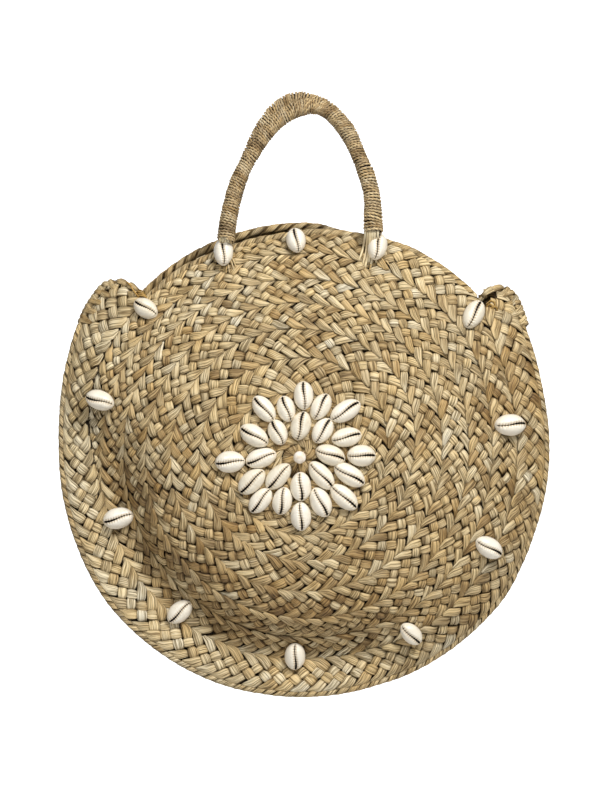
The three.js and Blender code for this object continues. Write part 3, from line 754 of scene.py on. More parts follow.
def dish_pieces(dish, prefix, seed, tone, material, nodes, fill, narrow, ends, step):
    rng = np.random.default_rng(seed)
    strands = [Build() for _ in range(5)]
    coil = Band(dish, -1085.0, 1638.0, dish.seam, lambda t: dish.seam(t + 360.0))
    lay(coil, strands, rng, fill, narrow, tone, step, 0.7, 2.6, 0.0, lambda t: 2.4 * sstep(1572.0, 1615.0, t))
    for k, b in enumerate(strands):
        o = b.object(f"{prefix}_coil_strip_{k + 1}", material)
        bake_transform(o)
        if k == 0:
            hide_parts(*nodes)
    border = Build()
    edge = Band(dish, ends[0], ends[1], BORDER_EDGE, lambda t: dish.reach(t, dish.rim))
    lay(edge, [border], rng, fill, narrow, tone, step, 0.7, 0.0, 0.0)
    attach(border.object(f"{prefix}_border_plait", material), "bag")
    # the start of the plait: strips crossed over one another in the middle
    hub = Build()
    cx, cz = (float(c[0]) for c in dish.plan(np.zeros(1), np.zeros(1)))
    deep = SINK + (1.5 if dish.side > 0 else 3.0)
    for way in range(2):
        for j in range(-5, 6):
            t = np.linspace(-1.0, 1.0, 41) * math.sqrt(34.0 ** 2 - (5.9 * j) ** 2)
            off = 5.9 * j + 0.5 * wavy(t, 90 + 7 * j + way)
            a = 0.6 + way * math.pi / 2 + rng.normal(0, 0.02)
            P, N = surface(dish.side, cx + t * math.cos(a) - off * math.sin(a), cz + t * math.sin(a) + off * math.cos(a))
            h = -deep + 0.62 * np.cos(math.pi * (t / 5.9 + j + way)) - 1.6 * sstep(20.0, 32.0, np.hypot(t, off))
            ribbon(hub, P + N * h[:, None], N, 6.2, thick=0.5, crown=0.6, top=TOP, tone=tone(cx + 0 * t, cz + 0 * t) + rng.normal(0, 0.08),
                   ident=rng.random(), high=np.cos(math.pi * (t / 5.9 + j + way)))
    for j in range(9 if dish.side < 0 else 0):
        a = math.pi * (j * 4 % 9) / 9 + rng.normal(0, 0.04)
        t = np.linspace(-24.0, 24.0, 25)
        P, N = surface(dish.side, cx + t * math.cos(a), cz + t * math.sin(a))
        h = -SINK - 1.2 + 0.28 * j - (1.2 + 0.28 * j) * sstep(11.0, 21.0, np.abs(t))
        ribbon(hub, P + N * h[:, None], N, 6.4 * (1 - 0.25 * sstep(8, 24, np.abs(t))), thick=0.5, crown=0.7,
               tone=0.45 + rng.normal(0, 0.08), ident=rng.random(), high=0.5 - 0.9 * sstep(8.0, 20.0, np.abs(t)))
    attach(hub.object(f"{prefix}_plait_start", material), "bag")


front = Dish(-1.0, 191.5, 4.8)
back = Dish(1.0, 199.5, 4.8)
FINE, COARSE = ((1.8, 2.2))
dish_pieces(front, "front", 11, front_tone_and_shade, M_STRAW, ("front_panel", "front_mouth_flap"),
            0.96, 0.83, (135.4, 400.6), FINE)
dish_pieces(back, "back", 23, back_tone, M_STRAW_BACK, ("back_panel", "back_mouth_flap"),
            1.05, 1.0, (137.2, 402.0), COARSE)


# ---------------------------------------------------------------------------
# Edges: twisted pairs of strips along the rim seam and both mouth edges
# ---------------------------------------------------------------------------
def twisted(build, C, er, ey, a, b, pitch, width, count=2, thick=0.9, crown=0.7, seed=1, tone=0.5,
            core=None, phase0=0.0, taper=6.0):
    """Strips twisted around the line C; er and ey span its cross-section."""
    s = np.concatenate([[0], np.cumsum(np.linalg.norm(np.diff(C, axis=0), axis=1))])
    turn = 2 * math.pi * s / pitch + 0.5 * wavy(s, seed, ((0.006, 1.0), (0.013, 0.6)))
    shrink = 0.45 + 0.55 * sstep(0, taper, s) * sstep(0, taper, s[-1] - s)
    for k in range(count):
        al = turn + phase0 + k * 2 * math.pi / count
        puff = 1.0 + 0.09 * wavy(s, seed + k + 5, ((0.03, 1.0), (0.07, 0.6)))
        P = (C + er * (a * puff * shrink * np.cos(al))[:, None] + ey * (b * puff * shrink * np.sin(al))[:, None])
        N = unit(er * (np.cos(al) / a)[:, None] + ey * (np.sin(al) / b)[:, None])
        W = width * (1.0 + 0.12 * wavy(s, seed + k + 9)) * shrink
        rs = np.random.default_rng(seed + 40 + k)
        # each strip is spliced from shorter lengths
        cuts = [0]
        while cuts[-1] < len(s) - 1:
            cuts.append(min(len(s) - 1, cuts[-1] + int(rs.uniform(90, 150) / max(s[1] - s[0], 1e-6))))
        for c0, c1 in zip(cuts[:-1], cuts[1:]):
            if c1 - c0 < 5:
                continue
            i = slice(c0, min(c1 + 3, len(s)))
            ribbon(build, P[i], N[i], W[i], thick=thick, crown=crown, top=TOP, groove=0.12, s0=s[c0],
                   tone=tone + rs.normal(0, 0.10) + 0.08 * wavy(s[i], seed + 70 + k), ident=rs.random(), high=0.6)
    # a core under the strips, painted near black as the shade between them
    if core:
        P, _ = resample(C, 4.0)
        tube(build, P, core, m=8, tone=0.12, ident=0.3, high=-0.6)


STEP_EDGE = 1.3


def arc(th0, th1, radius, y, step=STEP_EDGE):
    """Points, radial and y directions along an arc about the disc's centre (degrees)."""
    n = max(int(abs(th1 - th0) / 180 * math.pi * 205 / step), 8)
    th = np.linspace(th0, th1, n)
    r = radius(th % 360)
    yy = y(th % 360, r)
    er = np.stack([np.cos(np.radians(th)), 0 * th, np.sin(np.radians(th))], 1)
    C = er * r[:, None] + np.stack([0 * th, yy, 0 * th + Z0], 1)
    return C, er, np.tile(np.array([0.0, 1.0, 0.0]), (n, 1))


# The border runs from the right notch over the ear, round the rim and over the
# left ear to the left notch; one on each dish.
RIGHT_END = [(40.4, 199.0), (40.3, 205.0), (40.0, 212.0), (39.3, 219.6), (37.6, 224.6), (35.3, 225.4), (32.5, 223.0)]
LEFT_END = [(147.6, 226.2), (144.2, 227.0), (141.2, 225.6), (139.1, 219.6), (138.3, 212.0), (137.9, 204.5), (137.3, 197.0)]


def border_path(side, inset=3.3, y_min=4.4):
    f = front_depth if side < 0 else back_depth
    main = [(t, rim_radius(t % 360) - inset) for t in np.arange(29.0, -209.1, -2.0)]
    first, last = (RIGHT_END[3:], LEFT_END[:4]) if side < 0 else (RIGHT_END, LEFT_END)
    polar_pts = first + main + [(t - 360.0, r) for t, r in [(151.5, rim_radius(151.5) - inset)] + last]
    if side > 0:
        polar_pts[0] = (41.2, 202.5)
        polar_pts[-1] = (-223.6, 203.0)
    pts = []
    for t, r in polar_pts:
        x, z = r * math.cos(math.radians(t)), r * math.sin(math.radians(t))
        pts.append((x, side * max(y_min, float(f(x, z)) - 0.6), z + Z0))
    C, _ = resample(catmull(pts, 8), STEP_EDGE)
    T = unit(np.gradient(C, axis=0))
    out = np.stack([C[:, 0], 0 * C[:, 0], C[:, 2] - Z0], 1)
    # across the band, pointing away from the woven side
    er = unit(np.cross(T, np.array([0.0, -1.0, 0.0])))
    er = np.where(((er * out).sum(1) < 0)[:, None] & (np.abs((T * unit(out)).sum(1)) < 0.5)[:, None], -er, er)
    return C, er, unit(np.cross(er, T))


rim = Build()
for side, sd in ((-1.0, 3), (1.0, 8)):
    C, er, ey = border_path(side)
    twisted(rim, C, er, ey, 2.15, 2.9, 18.0, 5.4, thick=0.9, crown=0.9, seed=sd, tone=0.60, core=1.5)
# cord laid inside the seam, painted dark as the shade deep in the seam
C, er, ey = arc(37.0, -217.0, lambda t: rim_radius(t) - 6.6, lambda t, r: 0 * t, 4.0)
tube(rim, C, 3.0, m=8, tone=0.2, ident=0.5, high=-0.6)
# lacing that pulls the two edges together
C, er, ey = arc(36.0, -216.0, lambda t: rim_radius(t) - 4.6, lambda t, r: 0 * t)
s = np.concatenate([[0], np.cumsum(np.linalg.norm(np.diff(C, axis=0), axis=1))])
al = 2 * math.pi * s / 27.0
P = C + er * (3.4 * np.cos(al))[:, None] + ey * (7.4 * np.sin(al))[:, None]
N = unit(er * (np.cos(al) / 3.4)[:, None] + ey * (np.sin(al) / 7.4)[:, None])
ribbon(rim, P, N, 2.3, thick=0.5, crown=0.3, tone=0.55 + 0.1 * wavy(s, 4), ident=0.71, high=0.5)
rim_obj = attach(rim.object("rim_plait", M_STRAW), "bag")
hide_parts("rim_seam")


def mouth_edge(name, side, th0, th1, r0, body, node, seed):
    b = Build()
    f = front_depth if side < 0 else back_depth
    C, er, ey = arc(th0, th1, lambda t: r0 - mouth_dip(side, t),
                    lambda t, r: side * (f(r * np.cos(np.radians(t)), r * np.sin(np.radians(t))) - 1.2))
    if side < 0:
        twisted(b, C, er, ey, 2.4, 2.6, 17.0, 5.6, seed=seed, tone=0.60, core=1.7, taper=4.0)
    else:
        twisted(b, C, er, ey, 2.9, 3.1, 25.0, 6.1, crown=1.0, seed=seed, tone=0.60, core=2.0, taper=4.0)
    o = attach(b.object(name, M_STRAW), body)
    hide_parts(node)


mouth_edge("front_mouth_plait", -1.0, 134.6, 43.0, 190.4, "front_mouth", "front_mouth_edge", 31)
mouth_edge("back_mouth_plait", 1.0, 136.6, 43.4, 198.2, "back_mouth", "back_mouth_edge", 37)


def ear(name, turns, node, seed, twine):
    """Strand ends turned over the end of the seam, front to back, and its sewing."""
    b = Build()
    rs = np.random.default_rng(seed)
    for th0, r_top, r_low, slant, w in turns:
        def on(side, r, th, over):
            x, z = r * math.cos(math.radians(th)), r * math.sin(math.radians(th))
            q, n = surface(side, np.array([x]), np.array([z]))
            y = side * max(abs(float(q[0, 1])), 6.0)
            return np.array([x, y, z + Z0]) + n[0] * over
        def top(y, th, r):
            return np.array([r * math.cos(math.radians(th)), y, r * math.sin(math.radians(th)) + Z0])
        pts = [on(-1.0, r_low - 3.5, th0 - 1.2 * slant, -2.0), on(-1.0, r_low, th0 - slant, 1.5),
               on(-1.0, (r_low + r_top) / 2 - 1.0, th0 - 0.6 * slant, 2.1), on(-1.0, r_top - 4.2, th0 - 0.3 * slant, 2.3),
               top(-4.2, th0 - 0.1 * slant, r_top - 0.9), top(0.0, th0, r_top), top(4.2, th0 + 0.1 * slant, r_top - 0.9),
               on(1.0, r_top - 5.0, th0 + 0.3 * slant, 2.0), on(1.0, r_top - 14.0, th0 + slant, 1.4),
               on(1.0, r_top - 18.0, th0 + slant, -2.0)]
        P, q = resample(catmull(pts, 12), 1.1)
        rad, _ = polar(P[:, 0], P[:, 2] - Z0)
        axis = P * np.minimum((r_top - 12.0) / rad, 1.0)[:, None]
        axis[:, 1] = 0.0
        axis[:, 2] = (P[:, 2] - Z0) * np.minimum((r_top - 12.0) / rad, 1.0) + Z0
        N = unit(P - axis)
        f = q / q[-1]
        taper = 1 - 0.35 * (1 - sstep(0.0, 0.16, f)) - 0.35 * sstep(0.84, 1.0, f)
        ribbon(b, P, N, w * taper * (1 + 0.05 * wavy(q * 3, seed)), thick=0.7, crown=0.8, top=TOP, groove=rs.uniform(0.1, 0.4),
               lean=rs.normal(0, 0.2), tone=0.62 + rs.normal(0, 0.13) + 0.06 * wavy(q * 2, seed + 3), ident=rs.random(),
               high=0.7 - 1.4 * (1 - sstep(0.0, 0.12, f)) - 1.2 * sstep(0.86, 1.0, f))
    th = np.linspace(turns[0][0], turns[-1][0], 12)
    order = sorted(turns)
    top_r = np.interp(th, [t[0] for t in order], [t[1] for t in order])
    e = np.stack([np.cos(np.radians(th)), 0 * th, np.sin(np.radians(th))], 1)
    tube(b, e * (top_r - 8.0)[:, None] + np.array([0, 0, Z0]), 6.0, m=8, tone=0.3, ident=0.9, high=-0.1)
    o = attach(b.object(name, M_STRAW), "bag")
    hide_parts(node)
    t = Build()
    for pts, rad in twine:
        P, q = resample(catmull(pts, 10), 0.7)
        tube(t, P, rad, m=8, tone=0.55 + 0.15 * wavy(q * 4, seed), ident=rs.random(), high=0.4)
    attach(t.object(name.replace("turns", "stitches"), M_GOLD), "bag")


def spot(px, pz, over=1.6, side=-1.0):
    """World point on a dish, lifted by over."""
    p, n = surface(side, np.array([px]), np.array([pz]))
    return tuple(p[0] + n[0] * over)


ear("left_ear_turns", [(136.9, 213.0, 203.0, 0.6, 6.0), (138.0, 222.6, 212.5, 0.9, 5.6), (139.2, 227.6, 218.0, -0.5, 5.6),
                       (140.4, 230.2, 218.5, 0.9, 5.4), (141.6, 231.0, 221.0, -0.6, 5.6), (142.8, 231.2, 219.0, 1.0, 5.4),
                       (144.0, 231.0, 221.5, -0.5, 5.6), (145.2, 231.0, 219.5, 0.9, 5.4), (146.4, 230.8, 221.0, -0.6, 5.6),
                       (147.6, 230.4, 219.0, 0.9, 5.4), (148.8, 229.8, 220.5, -0.5, 5.6), (150.0, 229.2, 219.0, 0.8, 5.2)],
    "left_ear", 51,
    [([spot(-156.0, 146.0, -2.0), spot(-153.6, 144.6, 3.2), spot(-150.4, 141.6, 3.2), spot(-148.0, 138.0, 2.8),
       spot(-145.0, 134.4, 2.8), spot(-143.0, 132.0, -1.5)], 0.7),
     ([spot(-147.5, 137.0, -1.5), spot(-144.0, 137.4, 2.8), spot(-140.6, 136.4, 2.6), spot(-138.4, 135.4, -1.5)], 0.7),
     ([spot(-147.0, 135.2, -1.5), spot(-143.0, 135.6, 2.8), spot(-139.6, 134.8, 2.6), spot(-137.2, 133.8, -1.5)], 0.7),
     ([spot(-146.0, 133.4, -1.5), spot(-142.0, 133.8, 2.8), spot(-138.6, 133.2, 2.6), spot(-136.2, 132.2, -1.5)], 0.7),
     ([spot(-144.6, 138.8, -1.5), spot(-142.0, 138.8, 2.5), spot(-139.8, 137.8, -1.5)], 0.6)])
ear("right_ear_turns", [(40.5, 219.0, 209.0, -0.5, 5.8), (39.5, 226.0, 216.0, -0.9, 5.6), (38.3, 229.4, 219.5, 0.5, 5.6),
                        (37.1, 230.8, 219.0, -0.9, 5.4), (35.9, 231.0, 221.0, 0.6, 5.6), (34.7, 230.4, 218.5, -0.9, 5.4),
                        (33.5, 229.4, 219.5, 0.5, 5.6), (32.3, 228.4, 217.5, -0.9, 5.4), (31.1, 227.4, 217.5, 0.5, 5.4),
                        (29.9, 226.2, 217.0, -0.7, 5.2)], "right_ear", 57,
    [([spot(158.5, 127.5, -1.5), spot(161.5, 129.5, 2.9), spot(164.5, 127.5, 2.9), spot(165.0, 124.0, -1.0)], 0.7),
     ([spot(157.5, 124.5, -1.5), spot(160.5, 126.5, 2.9), spot(163.0, 124.0, 2.7), spot(163.0, 121.0, -1.0)], 0.7),
     ([spot(160.0, 122.0, -1.5), spot(163.2, 124.4, 2.9), spot(166.4, 123.2, 2.7), spot(168.0, 120.6, -1.0)], 0.7)])

# ---------------------------------------------------------------------------
# Handles
# ---------------------------------------------------------------------------
FRONT_LINE = [(-67.2, 407.6), (-64.2, 430.3), (-58.9, 449.5), (-48.9, 469.6), (-29.7, 499.0),
              (-10.9, 513.7), (6.5, 518.4), (17.0, 516.0), (29.4, 504.9), (41.1, 486.6),
              (48.9, 469.8), (55.3, 452.1), (58.6, 436.0), (59.3, 412.5)]
BACK_LINE = [(-69.3, 412.0), (-64.9, 431.6), (-58.9, 451.9), (-50.6, 473.2), (-40.0, 496.6),
             (-27.0, 514.8), (-14.6, 523.6), (-5.2, 526.2), (4.9, 524.4), (18.6, 519.0),
             (30.1, 509.5), (39.3, 498.3), (45.5, 484.3), (52.0, 466.9), (57.9, 450.1),
             (61.2, 435.1), (61.4, 412.0)]


def handle_curve(line, foot_y, crown_y):
    line = np.array(line, float)
    top = line[:, 1].max()
    out = []
    for x, h in line:
        foot = line[0, 1] if x < 0 else line[-1, 1]
        t = max(0.0, min(1.0, (h - foot) / (top - foot)))
        out.append((x, foot_y + (crown_y - foot_y) * t ** 1.15, h - HANG_Z))
    return resample(catmull(out), 0.8)[0]


def swell(end):
    """The wound handle is thicker at its crown and at its feet."""
    return 0.55 * sstep(80.0, 140.0, end) + 1.25 * (1 - sstep(0.0, 44.0, end))


def handle(name, line, foot_y, crown_y, body, wrap_node, core_node, seed, lower, reach_l, reach_r):
    C = handle_curve(line, foot_y, crown_y)
    ends = [C[0] + unit(C[0] - C[6]) * d for d in np.arange(reach_l, 0.1, -0.8)], [
        C[-1] + unit(C[-1] - C[-7]) * d for d in np.arange(0.8, reach_r + 0.1, 0.8)]
    C = np.concatenate([np.array(ends[0]).reshape(-1, 3), C, np.array(ends[1]).reshape(-1, 3)])
    C = resample(C, 0.8)[0]
    T, n, b = frames_along(C)
    s = np.concatenate([[0], np.cumsum(np.linalg.norm(np.diff(C, axis=0), axis=1))])
    total = s[-1]
    # two-ply twine wound round the rope; the lower right leg is wound again with a thicker strand
    fine = np.linspace(0, total, int(total / 0.05))
    second = sstep(total - lower - 0.6, total - lower + 0.6, fine) if lower else 0 * fine
    pitch = (2.4 * (1 - second) + 2.75 * second) * (1 + 0.07 * wavy(fine, seed, ((0.05, 1.0), (0.13, 0.8), (0.27, 0.9))))
    # the turns are packed closer round the bend, where the outside would gape
    bend = np.convolve(np.linalg.norm(np.gradient(T, s, axis=0), axis=1), np.ones(15) / 15, "same")
    pitch = pitch / (1 + 5.5 * np.interp(fine, s, bend))
    if lower:
        pitch = pitch + 2.2 * np.exp(-((fine - (total - lower)) / 1.3) ** 2)
    turns = np.concatenate([[0], np.cumsum(np.diff(fine) / pitch[:-1])])
    per = 42
    k = np.linspace(0, turns[-1], int(turns[-1] * per))
    at = np.interp(k, turns, fine)
    w2 = np.interp(at, fine, second)
    slack = wavy(k, seed + 1, ((0.19, 1.0), (0.43, 0.8), (0.83, 0.6)))
    end = np.minimum(at, total - at)
    rad = 5.75 + swell(end) + 0.12 * slack + 0.6 * w2 + 0.14 * wavy(at, seed + 2)
    # each turn leans a little, more on some than on others
    lean = -(1.5 + 0.9 * wavy(k, seed + 3, ((0.07, 1.0), (0.23, 0.9)))) * np.sin(2 * math.pi * k)
    at2 = np.clip(at + lean * sstep(0.0, 5.0, end), 0, total)
    c = np.stack([np.interp(at2, s, C[:, i]) for i in range(3)], 1)
    nn = unit(np.stack([np.interp(at2, s, n[:, i]) for i in range(3)], 1))
    bb = unit(np.stack([np.interp(at2, s, b[:, i]) for i in range(3)], 1))
    ang = 2 * math.pi * k
    out = nn * np.cos(ang)[:, None] + bb * np.sin(ang)[:, None]
    axis = c + out * rad[:, None]
    Th = unit(np.gradient(axis, axis=0))
    side = unit(np.cross(Th, out))
    ss = np.concatenate([[0], np.cumsum(np.linalg.norm(np.diff(axis, axis=0), axis=1))])
    build = Build()
    m = 6
    a = np.arange(m) / m * 2 * math.pi
    for ply in range(2):
        tw = 2 * math.pi * ss / 6.4 + ply * math.pi + 0.8 * wavy(ss * 0.2, seed + 8)
        o2 = out * np.cos(tw)[:, None] + side * np.sin(tw)[:, None]
        P = axis + o2 * 0.50
        T3 = unit(np.gradient(P, axis=0))
        u2 = unit(out - (out * T3).sum(1, keepdims=True) * T3)
        v2 = np.cross(T3, u2)
        thick = (0.62 + 0.08 * w2) * (1 + 0.10 * wavy(ss * 0.25, seed + 11 + ply))
        rings = P[:, None, :] + thick[:, None, None] * (
            np.cos(a)[None, :, None] * u2[:, None, :] + np.sin(a)[None, :, None] * v2[:, None, :])
        rings = rings[:, ::-1]
        tone = (0.66 + 0.20 * wavy(ss * 0.05, seed + 4 + ply) + 0.15 * wavy(at * 3.0, seed + 6) + 0.08 * w2)
        # painted shade: each ply is darker on its side towards the rope and where it turns under the other ply
        over = np.cos(tw)[:, None] * 0.6 + np.cos(a)[::-1][None, :] * 0.75 - 0.1
        # laid as a row of lengths so that the map stays even
        cut = np.linspace(0, len(P) - 1, 41).astype(int)
        for c0, c1 in zip(cut[:-1], cut[1:]):
            i = slice(c0, min(c1 + 1, len(P)))
            loft(build, rings[i], ss[i], np.cos(a)[::-1], tone=tone[i], ident=(0.31 + 0.4 * ply), high=over[i])
    # the layer beneath closes the gaps between the turns; it is painted near black as the shade in those gaps
    base, q = resample(C[3:-3], 1.5)
    tube(build, base, 4.9 + swell(np.minimum(q, total - q)), m=16, tone=0.04 + 0.08 * wavy(q * 8, seed), ident=0.77, high=-0.9)
    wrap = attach(build.object(f"{name}_twine", M_TWINE), body)
    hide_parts(wrap_node)
    # three-strand rope inside the wrap
    core = Build()
    cs, q = resample(C, 1.6)
    T2, n2, b2 = frames_along(cs)
    for i in range(3):
        an = 2 * math.pi * (q / 21.0 + i / 3.0)
        sh = np.ones(len(q))
        P2 = cs + (n2 * np.cos(an)[:, None] + b2 * np.sin(an)[:, None]) * 2.2
        tube(core, P2, 2.5, m=8, tone=0.5 + 0.1 * wavy(q, seed + i), ident=0.2 + 0.3 * i, high=0.2)
    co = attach(core.object(f"{name}_rope", M_CORE), body)
    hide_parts(core_node)


handle("front_handle", FRONT_LINE, -38.5, -8.2, "front_handle", "front_handle_wrap", "front_handle_core", 61, 60.0, 9.2, 7.6)
handle("back_handle", BACK_LINE, 37.5, 8.2, "back_handle", "back_handle_wrap", "back_handle_core", 67, 0.0, 3.2, 3.2)

# ---------------------------------------------------------------------------
# Cowries and pearl
# ---------------------------------------------------------------------------
OUTER = [("n", -0.9, 47.7, 90, 24.8, 17.6), ("nne", 13.9, 38.2, 59, 25, 16.7), ("ne", 35.1, 34.5, 30, 28.9, 17.5),
         ("ene", 36, 12, 11, 26.4, 17.1), ("e", 48.8, -3.8, -2, 25, 19.3), ("ese", 38.6, -20.3, -33, 30.4, 17.5),
         ("se", 33.9, -39.5, -43, 29.2, 17.5), ("sse", 13.8, -43.8, -67, 27.1, 18.4), ("s", -3.2, -56, -88, 25, 18.4),
         ("ssw", -19.1, -42.7, -103, 24.3, 17.5), ("sw", -38, -42.4, -131, 26.1, 16.7),
         ("wsw", -45.4, -26, -138, 28.3, 18.4), ("w", -64.1, -9.1, -177, 25.9, 19.3),
         ("wnw", -43.3, 13.4, 147, 27.6, 18), ("nw", -34.9, 36.3, 128, 26.9, 16.7), ("nnw", -15.9, 36.3, 105, 23.2, 16.2)]
INNER = [("n", -3.3, 21.8, 73, 25.7, 18), ("ne", 15.5, 17.7, 56, 24.3, 17.1), ("e", 22.1, -3.2, -21, 26.8, 18),
         ("se", 14.5, -20.8, -50, 29.6, 17.1), ("s", -3.3, -30.4, -90, 25.4, 18.9),
         ("sw", -22.6, -21.6, -134, 28.2, 17.1), ("w", -37.4, -5.9, -163, 27.5, 17.5), ("nw", -23.1, 16.3, 112, 23.2, 16.7)]
BORDER = [("01", 62.8, 175.9, 74), ("02", 146, 117.7, 59), ("03", 177.1, 22.4, 0), ("04", 158.9, -83.3, -32),
          ("05", 92.6, -157.8, -49), ("06", -8.3, -179, -93), ("07", -109.4, -141.5, -140), ("08", -163, -59.4, -167),
          ("09", -176.5, 44.1, 162), ("10", -137.4, 122.9, 145), ("11", -69.9, 171.6, 90), ("12", -7.4, 181.9, 99)]


BORDER_SIZE = {"01": (24.0, 16.6), "02": (27.0, 17.4), "03": (28.0, 18.8), "04": (26.6, 17.4), "05": (23.6, 16.0),
               "06": (24.4, 18.2), "07": (26.0, 17.2), "08": (27.6, 18.4), "09": (26.4, 17.2), "10": (23.6, 16.4),
               "11": (24.4, 16.8), "12": (21.6, 17.0)}


def cowrie_rings(L, W, H, rs):
    """Shell lying mouth up: x along it (wide end of the slit at +x), y across, z up."""
    ns = 77
    u = np.sin(np.linspace(-1, 1, ns) * math.pi / 2 * 0.985)
    bend, lean = rs.uniform(1.2, 2.1), rs.uniform(-0.4, 0.4)
    gap0 = rs.uniform(0.38, 0.54)
    teeth = rs.uniform(11.0, 13.5)
    beak = rs.uniform(0.0, 0.16)
    rings, slit, lip = [], [], []
    left_cols = np.array([1.0, 0.95, 0.84, 0.70, 0.55, 0.41, 0.28, 0.18, 0.10, 0.045, 0.0])
    for x in u:
        body = max(1 - abs(x) ** 2.35, 1e-4)
        hw = W / 2 * body ** 0.52 * (1 + 0.10 * x * (0.4 - x)) * (1 - beak * max(0.0, x) ** 3)
        hh = H * max(1 - abs(x) ** 2.7, 1e-4) ** 0.5 * (1 - 0.06 * x)
        close = 1 - sstep(0.86, 0.985, abs(x))
        y0 = (lean + bend * math.sin(x * 2.5) * 0.62) * (0.35 + 0.65 * close)
        gap = (gap0 + 0.66 * sstep(-0.4, 0.75, x)) * close + 0.05
        gap = min(gap, hw * 0.36)
        tooth = 0.5 + 0.5 * math.cos(2 * math.pi * teeth * x * 0.5)
        tooth = tooth ** 1.5 * close
        row, sl, lp = [], [], []

        def dome(y, d):
            c = min(abs(y) / max(hw, 1e-6), 1.0)
            base = hh * max(1 - c ** 2.25, 0.0) ** 0.56
            roll = 0.17 * hh * math.exp(-((d / 1.35) ** 1.6))
            ridge = 0.5 * tooth * math.exp(-((d / 2.6) ** 2))
            return max(base - roll + ridge, 0.02)

        for sgn in (-1, 1):
            cols = left_cols if sgn < 0 else left_cols[::-1]
            edge_gap = gap - 0.34 * tooth * (1 if gap > 0.5 else 0.55)
            edge_gap = max(edge_gap, 0.10 * close + 0.03)
            inner = y0 + sgn * edge_gap
            outer = sgn * hw
            if sgn > 0:
                depth_cols = [(0.25, 1.0), (0.62, 0.8), (0.92, 0.32)]
                for f, dp in depth_cols:
                    y = y0 + f * edge_gap
                    z = dome(y0 + sgn * edge_gap, 0.0)
                    row.append((y, max(z - dp * 3.1 * close * min(1, hh / 5), 0.3)))
                    sl.append(dp * close)
                    lp.append(0.6)
            for f in cols:
                y = inner + (outer - inner) * f
                d = abs(y - inner)
                row.append((y, dome(y, d)))
                sl.append(0.0)
                lp.append(close * math.exp(-(d / 1.5) ** 2) * (0.9 - 0.6 * tooth))
            if sgn < 0:
                for f, dp in [(0.92, 0.32), (0.62, 0.8), (0.25, 1.0)]:
                    y = y0 - f * edge_gap
                    z = dome(inner, 0.0)
                    row.append((y, max(z - dp * 3.1 * close * min(1, hh / 5), 0.3)))
                    sl.append(dp * close)
                    lp.append(0.6)
        # flat cut base
        row += [(hw * 0.93, -0.55), (0.0, -0.7), (-hw * 0.93, -0.55), (-hw * 0.99, -0.25)]
        sl += [0.0] * 4
        lp += [0.0] * 4
        rings.append([(x * L / 2, y, z) for y, z in row])
        slit.append(sl)
        lip.append(lp)
    return np.array(rings), np.array(slit), np.array(lip)


def cowrie(node, x, zc, angle, L, W, lift, body, tilt=0.0):
    rs = np.random.default_rng(sum(ord(ch) * (i + 3) for i, ch in enumerate(node)))
    rings, slit, lip = cowrie_rings(L, W, 0.47 * W * rs.uniform(0.95, 1.06), rs)
    p, n = surface(-1.0, np.array([x]), np.array([zc]), 7.0)
    p, n = p[0], unit(n[0] + tilt * np.array([0.0, -1.0, 0.0]))
    d = np.array([math.cos(math.radians(angle)), 0.0, math.sin(math.radians(angle))])
    d = unit(d - (d @ n) * n)
    c = np.cross(n, d)
    # stand clear of the straw where the dish curves up beside the shell
    a = np.linspace(0, 2 * math.pi, 24, endpoint=False)
    foot = p + d * (0.46 * L * np.cos(a))[:, None] + c * (0.46 * W * np.sin(a))[:, None]
    under, _ = surface(-1.0, foot[:, 0], foot[:, 2] - Z0)
    lift = lift + 0.8 * max(0.0, float(((under - foot) @ n).max()))
    w = (p + n * lift)[None, None, :] + rings[..., :1] * d + rings[..., 1:2] * c + rings[..., 2:] * n
    b = Build()
    s = rings[:, 0, 0]
    loft(b, w, s - s[0], np.linspace(-1, 1, rings.shape[1]), slit=slit, lip=lip,
         ident=np.full(rings.shape[:2], rs.random()))
    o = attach(b.object(node + "_shell", M_COWRIE, bake_map=False), body)
    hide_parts(node)
    return o


for nm, x, z, a, L, W in OUTER:
    cowrie(f"cowrie_flower_outer_{nm}", x, z, a, L, W * 0.97, 2.0, "bag")
for nm, x, z, a, L, W in INNER:
    cowrie(f"cowrie_flower_inner_{nm}", x, z, a, L, W * 0.97, 2.0, "bag")
for nm, x, z, a in BORDER:
    L, W = BORDER_SIZE[nm]
    up = {"11": 6.2, "01": 6.2, "12": 3.4}.get(nm, 2.0)
    cowrie(f"cowrie_border_{nm}", x, z, a, L, W, up, "front_mouth" if nm in ("11", "12", "01") else "bag", 1.1)


